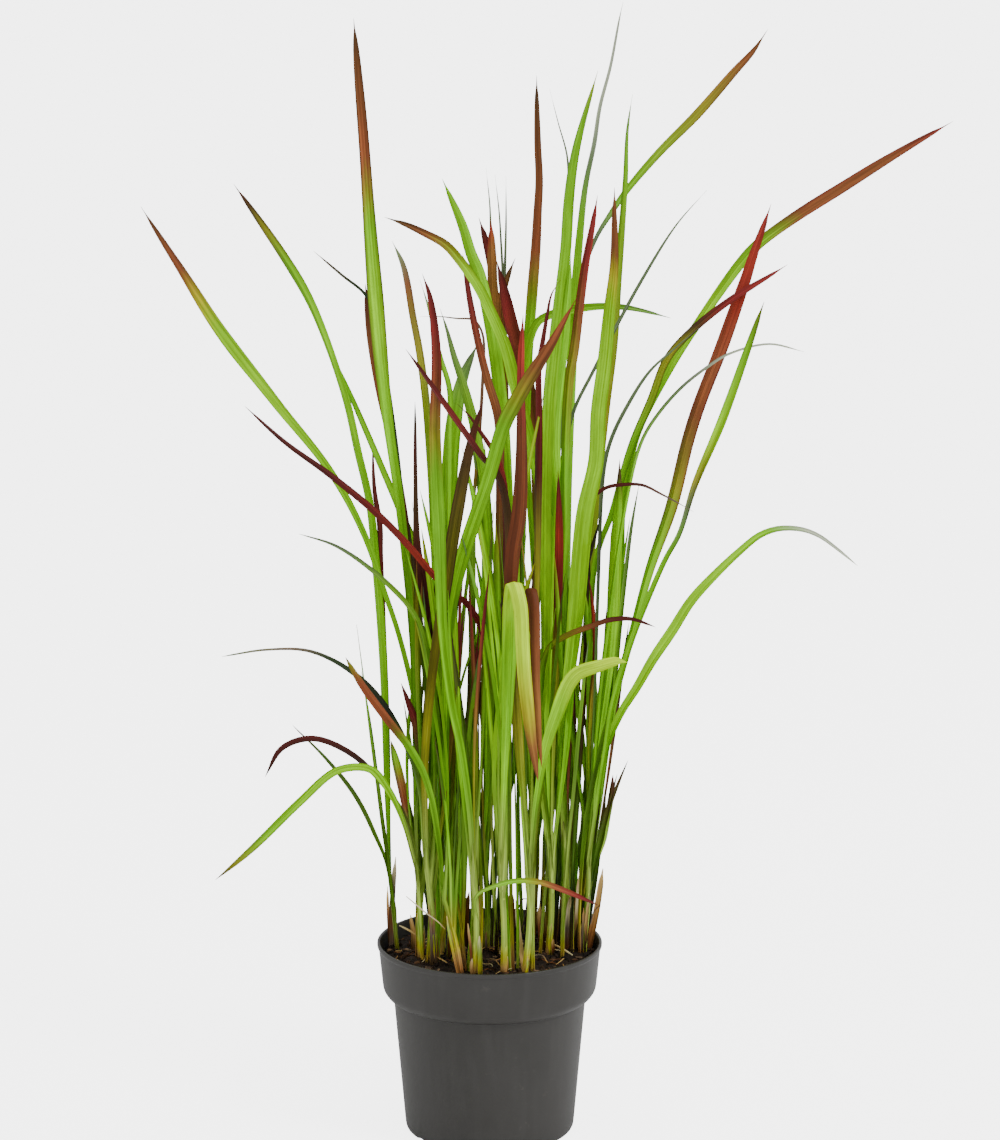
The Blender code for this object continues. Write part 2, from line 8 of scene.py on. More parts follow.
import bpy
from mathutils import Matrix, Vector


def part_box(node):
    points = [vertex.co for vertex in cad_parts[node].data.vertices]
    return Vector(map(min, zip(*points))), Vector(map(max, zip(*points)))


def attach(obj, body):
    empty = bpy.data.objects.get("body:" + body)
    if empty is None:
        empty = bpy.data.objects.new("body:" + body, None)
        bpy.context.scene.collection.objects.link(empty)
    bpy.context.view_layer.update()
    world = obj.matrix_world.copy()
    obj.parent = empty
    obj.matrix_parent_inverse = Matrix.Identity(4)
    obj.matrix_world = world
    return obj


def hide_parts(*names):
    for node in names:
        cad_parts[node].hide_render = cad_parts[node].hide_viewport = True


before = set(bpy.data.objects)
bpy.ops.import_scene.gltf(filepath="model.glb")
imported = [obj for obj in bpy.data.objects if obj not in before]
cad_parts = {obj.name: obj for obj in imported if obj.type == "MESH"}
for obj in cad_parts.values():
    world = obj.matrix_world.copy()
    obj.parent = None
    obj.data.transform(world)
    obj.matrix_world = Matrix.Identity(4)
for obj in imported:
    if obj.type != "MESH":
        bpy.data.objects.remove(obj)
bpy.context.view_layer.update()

import math
import random

import bmesh
import bpy
import numpy as np
from mathutils import Vector, noise

MM = 0.001
POT_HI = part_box("pot")[1]

# ------------------------------------------------------------------ sizes shared with the CAD (mm)
RIM_R = POT_HI.x / MM
POT_H = POT_HI.z / MM
SOIL_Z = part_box("soil")[1].z / MM
COLLAR_Z = 80.0         # foot of the deep collar
BODY_TOP_R = 55.7
BODY_FOOT_R = 49.3
WALL = 1.2
FOOT_IN_R = 38.5        # inside of the ring that the pot stands on
BOSS_R = 14.0
FLOOR_RAISE = 2.2
NOTCH_COUNT = 8
NOTCH_PHASE = 34.0
NOTCH_SIZE = (9.0, 9.0, 4.2)    # radial, round the foot, tall
DRAIN_R = 3.0
DRAIN_RING_R = 26.0
FIT_GAP = 0.3           # between the soil and the pot, and under each stalk
BLADE_T = 0.9           # thickness of the CAD blades
CLEAR = 0.7             # kept between crossing blades
STACK = 2.1             # depth between the feet of two blades of one stalk
EASE_SHARE = 0.35       # how much of the missing depth one round makes up
WIDEST = 0.6            # share of a blade's length where it is widest

# ---- stalks: root x, y; top x, y, z; diameter at root and at top; tint ----
SHOOTS = {
    "shoot_01": ((-57, 16), (-58, 17, 142), 3.4, 2.6, "dry"),
    "shoot_02": ((-40, -12), (-41.5, -11, 158), 5.2, 4.4, "stalk"),
    "shoot_03": ((-32, -22), (-36, -20, 165), 7.0, 5.6, "stalk"),
    "shoot_04": ((-30, 4), (-29, 6, 155), 5.0, 4.4, "stalk"),
    "shoot_05": ((-23, -11), (-24, -9, 162), 5.2, 4.4, "dark_green"),
    "shoot_06": ((-8, -41), (-9, -39, 165), 6.0, 5.0, "stalk"),
    "shoot_07": ((-16, -40), (-26, -34, 148), 4.6, 3.8, "olive"),
    "shoot_08": ((-2, 4), (-3, 6, 160), 6.0, 5.0, "dark_green"),
    "shoot_09": ((8, -40), (6, -38, 165), 6.0, 5.0, "stalk"),
    "shoot_10": ((20, -40), (23, -38, 165), 6.0, 4.8, "stalk"),
    "shoot_11": ((34, -4), (35, -4, 160), 6.0, 5.0, "stalk"),
    "shoot_12": ((44, 8), (43, 7, 168), 7.4, 6.0, "stalk"),
    "shoot_13": ((54, 2), (57, 2, 160), 4.6, 4.0, "stalk"),
    "shoot_14": ((56, 14), (60, 14, 160), 4.4, 3.8, "stalk"),
    "shoot_15": ((-18, 32), (-21, 38, 160), 5.6, 4.6, "dark_green"),
    "shoot_16": ((4, 40), (6, 48, 160), 5.6, 4.8, "dark_green"),
    "shoot_17": ((24, 34), (28, 42, 160), 5.6, 4.6, "green"),
    "shoot_18": ((40, 27), (44, 32, 160), 5.6, 4.6, "green"),
}

# ---- blades: stalk, full width, facing (deg), twist (deg), tint, route to the tip ----
# facing turns the flat side away from -Y, and twist adds to it along the blade.
BLADES = {
    "leaf_olive_left": ("shoot_01", 7.0, 15, 20, "olive", [
        (-60, 19, 200), (-62.5, 22, 285), (-66, 25, 331), (-69.5, 27, 365), (-76, 28, 394),
        (-82, 29, 422), (-91, 31, 450), (-103, 34, 479), (-117, 36, 503), (-145, 41, 544)]),
    "leaf_low_left": ("shoot_01", 5.5, 20, 30, "dark_green", [
        (-61, 14, 158), (-66, 12, 172), (-77, 8, 197), (-93, 3, 219), (-112, -4, 240)]),
    "leaf_lime_arch_left": ("shoot_02", 8.0, 15, 15, "lime", [
        (-44, -14, 168), (-48, -16, 185), (-56, -18, 206), (-67, -20, 220), (-86, -24, 220),
        (-107, -28, 202), (-132, -32, 178), (-154, -35, 158)]),
    "leaf_tall_left": ("shoot_02", 9.0, -10, 25, "green", [
        (-42, -10, 233), (-43.5, -6, 289), (-50, 0, 364), (-56.5, 6, 410), (-60.5, 12, 445),
        (-66, 22, 509), (-70, 30, 564), (-76, 38, 636)]),
    "leaf_purple_arch_left": ("shoot_02", 4.2, 10, 15, "maroon", [
        (-43, -11, 170), (-48, -10, 188), (-60, -10, 206), (-78, -9, 224), (-100, -8, 233),
        (-118, -6, 227), (-128, -5, 210)]),
    "leaf_dark_brown": ("shoot_03", 7.5, 20, -20, "brown", [
        (-36, -24, 222), (-31, -30, 278), (-24, -35, 325), (-18, -39, 365), (-9, -43, 410),
        (-3, -45, 430)]),
    "leaf_dark_arch_left": ("shoot_03", 4.0, 12, 15, "dark_green", [
        (-41, -19, 215), (-58, -20, 252), (-76, -21, 273), (-100, -21, 286), (-125, -20, 287),
        (-150, -19, 283)]),
    "leaf_outer_left": ("shoot_04", 9.5, 25, 20, "olive", [
        (-38, 8, 228), (-51, 12, 289), (-60, 16, 316), (-71, 20, 348), (-90, 25, 383),
        (-121, 32, 421), (-155, 40, 464), (-177, 45, 498), (-199, 50, 531)]),
    "leaf_maroon_left": ("shoot_05", 8.0, -15, -20, "maroon", [
        (-28, -6, 225), (-32, -2, 280), (-36, 2, 308), (-41, 6, 338), (-42, 10, 380),
        (-42, 14, 423)]),
    "leaf_diagonal_front": ("shoot_05", 9.0, 15, 25, "green", [
        (-24, -18, 235), (-21, -28, 308), (-14, -38, 342), (-1, -50, 383), (9, -59, 418),
        (18, -66, 436), (27, -73, 452), (34, -79, 464), (46, -90, 488)]),
    "leaf_olive_arch_left": ("shoot_05", 5.0, 12, 15, "olive", [
        (-27, -13, 220), (-33, -16, 272), (-41, -19, 305), (-57, -22, 325), (-84, -26, 346),
        (-105, -29, 354)]),
    "leaf_broad_left": ("shoot_06", 8.5, 20, -30, "green", [
        (-11, -38, 200), (-15, -38, 233), (-20, -40, 259), (-25, -43, 301), (-27, -48, 353),
        (-29, -57, 413), (-28, -65, 457), (-31, -71, 487), (-35, -75, 500)]),
    "leaf_short_red_left": ("shoot_02", 6.0, 10, 15, "crimson", [
        (-43, -8, 170), (-46, -4, 182), (-49, -5, 197), (-52, -6, 212), (-56, -7, 232)]),
    "leaf_short_orange_left": ("shoot_07", 7.0, 25, 10, "brown", [
        (-28, -33, 180), (-32, -32, 205), (-37, -31, 221), (-44, -31, 234), (-53, -31, 246),
        (-62, -31, 258), (-70, -31, 269), (-80, -31, 285)]),
    "leaf_crimson_arch_left": ("shoot_08", 6.0, 12, 12, "crimson", [
        (0, 4, 219), (1, -3, 254), (-1, -8, 286), (-10, -13, 310), (-28, -18, 327),
        (-43, -20, 345), (-63, -22, 366), (-88, -25, 387), (-112, -28, 405), (-134, -30, 425)]),
    "leaf_crimson_inner_left": ("shoot_08", 6.0, -20, 25, "crimson", [
        (0, 8, 230), (4, 10, 289), (5, 11, 331), (6, 12, 380), (5, 13, 414), (-1, 14, 435),
        (-6, 16, 455), (-11, 18, 480), (-15, 20, 506)]),
    "leaf_bowed_green": ("shoot_15", 8.5, 25, -25, "dark_green", [
        (-24, 40, 235), (-26, 43, 310), (-24, 47, 355), (-21, 52, 404), (-16, 56, 431),
        (-7, 60, 452)]),
    "leaf_olive_tip_left": ("shoot_15", 5.5, -20, -20, "olive", [
        (-28, 46, 240), (-32, 56, 320), (-34, 66, 377), (-37, 76, 417), (-41, 84, 446),
        (-45, 91, 465), (-51, 99, 495), (-58, 105, 509)]),
    "leaf_folded_centre": ("shoot_09", 8.5, 5, 10, "lime", [
        (9, -40, 235), (11, -42, 288), (12, -46, 320), (13.5, -51, 331), (17, -57, 320),
        (18.5, -60, 299), (19.5, -62, 281), (21, -62, 265), (23.5, -61, 244), (27, -60, 221)]),
    "leaf_crimson_diagonal": ("shoot_09", 6.0, 15, 15, "crimson", [
        (8, -34, 240), (11, -29, 315), (9, -29, 371), (4, -36, 388), (-4, -49, 399),
        (-14, -60, 415), (-27, -70, 435), (-44, -73, 460)]),
    "leaf_bent_lime": ("shoot_10", 7.0, 15, 15, "lime", [
        (26, -39, 203), (32, -40, 238), (37, -41, 254), (40, -42, 263), (44, -43, 273),
        (49, -44, 279), (60, -45, 283), (71, -46, 286), (76, -46, 285)]),
    "leaf_crimson_centre": ("shoot_10", 9.0, -10, -20, "crimson", [
        (17, -35, 235), (13, -37, 310), (14, -40, 345), (17, -42, 366), (18, -43, 389),
        (18, -43, 414), (17.5, -43, 443), (18.5, -43, 476)]),
    "leaf_purple_tip_low": ("shoot_11", 4.5, 15, 15, "green", [
        (30, -8, 235), (33, -16, 286), (44, -22, 296), (57, -27, 302), (67, -30, 306),
        (79, -33, 307), (92, -36, 303)]),
    "leaf_lime_centre_right": ("shoot_11", 9.0, 20, 20, "lime", [
        (31, 0, 254), (31, 4, 312), (31, 9, 369), (33, 14, 425), (36, 18, 453), (39, 21, 481),
        (42, 24, 508), (44, 27, 536), (47, 30, 558), (51, 33, 575), (61, 37, 607)]),
    "leaf_broad_right": ("shoot_12", 10.5, 12, 20, "lime", [
        (42, 0, 232), (45, -7, 264), (49, -15, 304), (52, -24, 348), (54, -29, 369),
        (59, -36, 395), (60, -43, 423), (63, -50, 451), (65, -57, 479), (67, -64, 505),
        (66, -74, 545)]),
    "leaf_crimson_edged": ("shoot_12", 6.0, -15, 25, "green", [
        (42, 12, 254), (42, 14, 315), (43, 16, 352), (43, 18, 389), (45, 20, 434),
        (48, 22, 452), (51, 24, 477), (54, 26, 499), (58, 28, 521), (61, 30, 538)]),
    "leaf_green_right": ("shoot_13", 5.4, 15, 15, "green", [
        (66, -2, 225), (70, -6, 253), (81, -10, 292), (92, -15, 322), (99, -18, 339),
        (106, -21, 353), (114, -25, 381), (128, -30, 417), (140, -35, 454), (149, -40, 483)]),
    "leaf_purple_right": ("shoot_13", 5.4, 15, 15, "maroon", [
        (57, 8, 254), (60, 12, 329), (64, 14, 344), (69, 16, 356), (81, 19, 397),
        (92, 22, 423), (101, 24, 446), (115, 26, 462), (136, 29, 479), (159, 32, 493),
        (169, 34, 499)]),
    "leaf_thin_arch_right": ("shoot_13", 3.6, 15, 15, "green", [
        (62, 0, 250), (69, -3, 313), (77, -6, 371), (85, -10, 404), (95, -14, 421),
        (107, -18, 435), (119, -21, 445), (131, -24, 453), (153, -28, 459), (172, -31, 455)]),
    "leaf_red_right": ("shoot_14", 8.5, 10, 25, "crimson", [
        (63, 14, 184), (71, 14, 248), (81, 15, 288), (91, 16, 327), (103, 17, 363),
        (112, 19, 400), (118, 21, 419), (132, 24, 455), (144, 27, 489), (149, 29, 505),
        (159, 32, 533)]),
    "leaf_outer_right": ("shoot_14", 8.0, 15, 20, "green", [
        (66, 18, 216), (72, 22, 279), (76, 25, 318), (77, 28, 363), (82, 30, 391),
        (87, 32, 407), (105, 36, 442), (124, 40, 472), (142, 44, 497), (152, 46, 508),
        (174, 50, 524), (203, 55, 542), (238, 61, 563), (266, 66, 579)]),
    "leaf_arching_right": ("shoot_14", 5.5, 20, 15, "lime", [
        (66, 7, 220), (75, 0, 246), (84, -7, 263), (93, -13, 281), (103, -19, 298),
        (113, -25, 316), (126, -30, 332), (138, -35, 345), (149, -39, 355), (159, -42, 359),
        (171, -45, 359), (180, -48, 356), (190, -50, 349), (201, -52, 340)]),
    "leaf_lime_upper": ("shoot_16", 8.0, -15, 15, "lime", [
        (11, 50, 240), (13, 55, 302), (11, 61, 368), (7, 67, 416), (1, 73, 459),
        (-6, 79, 491), (-11, 83, 503), (-16, 87, 519), (-28, 94, 546)]),
    "leaf_tall_centre": ("shoot_16", 7.0, 15, 25, "green", [
        (15, 52, 218), (18, 54, 300), (21, 56, 387), (23, 58, 449), (25, 60, 477),
        (27, 62, 505), (28, 64, 526), (29, 66, 545), (28, 68, 566), (27, 72, 605)]),
    "leaf_russet_centre": ("shoot_16", 8.0, 15, -15, "brown", [
        (22, 60, 240), (28, 66, 309), (28.5, 70, 364), (25, 73, 410), (19, 75, 440),
        (13, 77, 461), (8.5, 78, 481), (4, 79, 499)]),
    "leaf_level_right": ("shoot_17", 4.8, 15, 15, "green", [
        (28, 44, 280), (22, 46, 390), (21, 47, 440), (27, 47, 464), (34, 47, 469),
        (59, 46, 474), (76, 45, 474), (88, 44, 472), (104, 43, 468)]),
    "leaf_thin_reaching": ("shoot_17", 5.0, -25, 25, "olive", [
        (40, 46, 245), (45, 50, 345), (46, 54, 421), (50, 57, 478), (61, 59, 512),
        (70, 60, 527), (79, 61, 540), (97, 62, 561), (119, 64, 583), (140, 65, 607),
        (151, 66, 619), (159, 67, 631)]),
    "leaf_broad_upper": ("shoot_18", 8.0, 15, -20, "green", [
        (46, 30, 243), (45, 20, 296), (40, 12, 332), (31, 4, 367), (23, -2, 402),
        (15, -6, 432), (9, -8, 456), (1, -8, 475), (-6, -8, 489), (-15, -8, 502),
        (-24, -7, 512), (-35, -6, 518), (-46, -5, 523), (-58, -4, 527)]),
    "leaf_tall_right": ("shoot_18", 5.5, -20, 25, "dark_green", [
        (44, 38, 245), (45, 44, 311), (46, 48, 384), (49, 52, 477), (52, 54, 517),
        (55, 56, 543), (60, 58, 567), (63, 59, 587), (69, 61, 610), (74, 62, 637),
        (76, 62, 646)]),
}


# ------------------------------------------------------------------ curves
def unit(vectors):
    return vectors / np.linalg.norm(vectors, axis=-1, keepdims=True)


def reach_along(curve):
    """Distance of each point from the start of its curve."""
    return np.concatenate([[0], np.cumsum(np.linalg.norm(np.diff(curve, axis=0), axis=1))])


def ease(x, low, high):
    """0 below low, 1 above high and a smooth step between."""
    t = np.clip((np.asarray(x, float) - low) / (high - low), 0, 1)
    return t * t * (3 - 2 * t)


def smoothed(values, weights):
    """Running mean with the given weights; the ends repeat."""
    return np.convolve(np.pad(values, len(weights) // 2, mode="edge"), weights, "valid")


def spline(points, steps=24):
    """Dense centripetal Catmull-Rom curve through the points."""
    p = np.array(points, float)
    p = np.vstack([2 * p[0] - p[1], p, 2 * p[-1] - p[-2]])
    out = []
    for a, b, c, d in zip(p[:-3], p[1:-2], p[2:-1], p[3:]):
        t1 = math.sqrt(np.linalg.norm(b - a))
        t2 = t1 + math.sqrt(np.linalg.norm(c - b))
        t3 = t2 + math.sqrt(np.linalg.norm(d - c))
        for t in np.linspace(t1, t2, steps, endpoint=False):
            ab = a * (t1 - t) / t1 + b * t / t1
            bc = b * (t2 - t) / (t2 - t1) + c * (t - t1) / (t2 - t1)
            cd = c * (t3 - t) / (t3 - t2) + d * (t - t2) / (t3 - t2)
            abc = ab * (t2 - t) / t2 + bc * t / t2
            bcd = bc * (t3 - t) / (t3 - t1) + cd * (t - t1) / (t3 - t1)
            out.append(abc * (t2 - t) / (t2 - t1) + bcd * (t - t1) / (t2 - t1))
    out.append(p[-2])
    return np.array(out)


def resample(curve, count, bend_weight=0.0):
    """Even samples along a curve, closer together where it turns sharply."""
    step = np.diff(curve, axis=0)
    direction = unit(step)
    turn = np.zeros(len(step))
    turn[1:] = np.arccos(np.clip((direction[1:] * direction[:-1]).sum(1), -1, 1))
    length = np.linalg.norm(step, axis=1) + bend_weight * turn
    along = np.concatenate([[0], np.cumsum(length)])
    at = np.linspace(0, along[-1], count)
    return np.stack([np.interp(at, along, curve[:, k]) for k in range(3)], 1)


def frames(curve, facing, twist):
    """Width and face directions, carried along without spin and then twisted (degrees)."""
    tangent = unit(np.gradient(curve, axis=0))
    width = np.cross(tangent[0], (0, -1, 0))
    reach = reach_along(curve)
    wide, face = [], []
    for t, s in zip(tangent, reach):
        width = unit(width - t * width.dot(t))
        normal = np.cross(width, t)
        turn = math.radians(facing * min(1.0, s / 60.0) + twist * s / reach[-1])
        wide.append(width * math.cos(turn) + normal * math.sin(turn))
        face.append(normal * math.cos(turn) - width * math.sin(turn))
    return np.array(wide), np.array(face)


def blade_width(s, full):
    """Width at the shares s of a blade's length: narrow foot, long pointed tip."""
    fall = 1 - np.clip((s - WIDEST) / (1 - WIDEST), 0, 1) ** 2.4
    return np.maximum(0.7, full * (0.30 + 0.70 * ease(s, 0, WIDEST)) * fall)


# ------------------------------------------------------------------ layout of the clump
def blade_routes():
    """Centreline of each blade, from its foot above the stalk to its tip."""
    routes = {}
    for shoot, (_, top, _, _, _) in SHOOTS.items():
        mine = [n for n, b in BLADES.items() if b[0] == shoot]
        mine.sort(key=lambda n: BLADES[n][5][1][1])
        for k, name in enumerate(mine):
            foot = (top[0], top[1] + STACK * (k - (len(mine) - 1) / 2), top[2] + 0.5)
            routes[name] = spline([foot] + BLADES[name][5])
    return routes


def crossings(line, half):
    """Pairs that cross in front view: where, which lies behind, and the depth they need."""
    names = [n for n in line if n in BLADES]
    for i, a in enumerate(names):
        for b in names[i + 1:] + [s for s in SHOOTS if s != BLADES[a][0]]:
            flat = line[a][:, None, [0, 2]] - line[b][None, :, [0, 2]]
            spacing = 0.5 * max(np.linalg.norm(line[n][1] - line[n][0]) for n in (a, b))
            near = (np.sqrt((flat ** 2).sum(2))
                    < half[a][0][:, None] + half[b][0][None, :] + spacing)
            if near.any():
                depth = line[a][:, None, 1] - line[b][None, :, 1]
                side = 1.0 if depth[near].mean() >= 0 else -1.0
                need = BLADE_T + CLEAR + half[a][1][:, None] + half[b][1][None, :]
                yield a, b, near, side, need


def part_blades(routes, rounds=120, count=30, stalk_count=9):
    """Ease crossing blades apart in depth for a fixed number of rounds; the feet stay put."""
    share = np.linspace(0, 1, count)
    line, half, push_free = {}, {}, {}
    for n, route in routes.items():
        _, full, facing, twist = BLADES[n][:4]
        line[n] = resample(route, count)
        across = frames(line[n], facing, twist)[0][:, 1]
        width = 0.5 * blade_width(share, full)
        half[n] = (width * np.sqrt(1 - across ** 2), width * abs(across))
        push_free[n] = np.clip(np.arange(count) / 3.0, 0, 1)
    for shoot, (root, top, d0, d1, _) in SHOOTS.items():
        t = np.linspace(0, 1, stalk_count)[:, None]
        line[shoot] = np.array([[*root, SOIL_Z]]) * (1 - t) + np.array([top]) * t
        half[shoot] = (0.5 * (d0 + (d1 - d0) * t[:, 0]),) * 2
    shift = {n: np.zeros(len(line[n])) for n in line}
    pairs = list(crossings(line, half))
    for _ in range(rounds):
        push = {n: np.zeros(len(line[n])) for n in line}
        for a, b, near, side, need in pairs:
            depth = side * ((line[a][:, 1] + shift[a])[:, None]
                            - (line[b][:, 1] + shift[b])[None, :])
            lack = np.where(near, np.maximum(need - depth, 0), 0)
            given = side * (0.5 if b in BLADES else 1.0)
            push[a] = push[a] + given * lack.max(1)
            push[b] = push[b] - given * lack.max(0)
        for n in routes:
            move = push[n]
            for _ in range(3):
                move = smoothed(move, (0.25, 0.5, 0.25))
            shift[n] = shift[n] + EASE_SHARE * move * push_free[n]
    moved = {}
    for n, route in routes.items():
        reach = reach_along(route)
        moved[n] = route.copy()
        moved[n][:, 1] += np.interp(reach / reach[-1], share, shift[n])
    return moved


# ------------------------------------------------------------------ colours
PALETTE = {
    "pale": (0.58, 0.92, 0.002), "lime": (0.29, 0.65, 0.001), "fresh": (0.205, 0.54, 0.001),
    "green": (0.165, 0.44, 0.006), "mid": (0.15, 0.33, 0.014), "dark": (0.085, 0.18, 0.016),
    "deep": (0.026, 0.044, 0.016), "grey": (0.12, 0.17, 0.08), "olive": (0.25, 0.25, 0.018),
    "gold": (0.49, 0.46, 0.015), "tan": (0.47, 0.27, 0.085), "straw": (0.72, 0.49, 0.18),
    "brown": (0.215, 0.072, 0.024), "russet": (0.29, 0.08, 0.03), "umber": (0.075, 0.04, 0.014),
    "crimson": (0.34, 0.034, 0.02), "wine": (0.185, 0.02, 0.018), "maroon": (0.085, 0.016, 0.013),
    "stalk": (0.4, 0.57, 0.085), "sheath": (0.32, 0.45, 0.075), "bone": (0.76, 0.66, 0.38),
    "ash": (0.19, 0.14, 0.1), "rust": (0.3, 0.125, 0.032), "moss": (0.11, 0.098, 0.008),
    "mahogany": (0.13, 0.034, 0.012), "black": (0.014, 0.016, 0.01), "faded": (0.42, 0.46, 0.34),
}

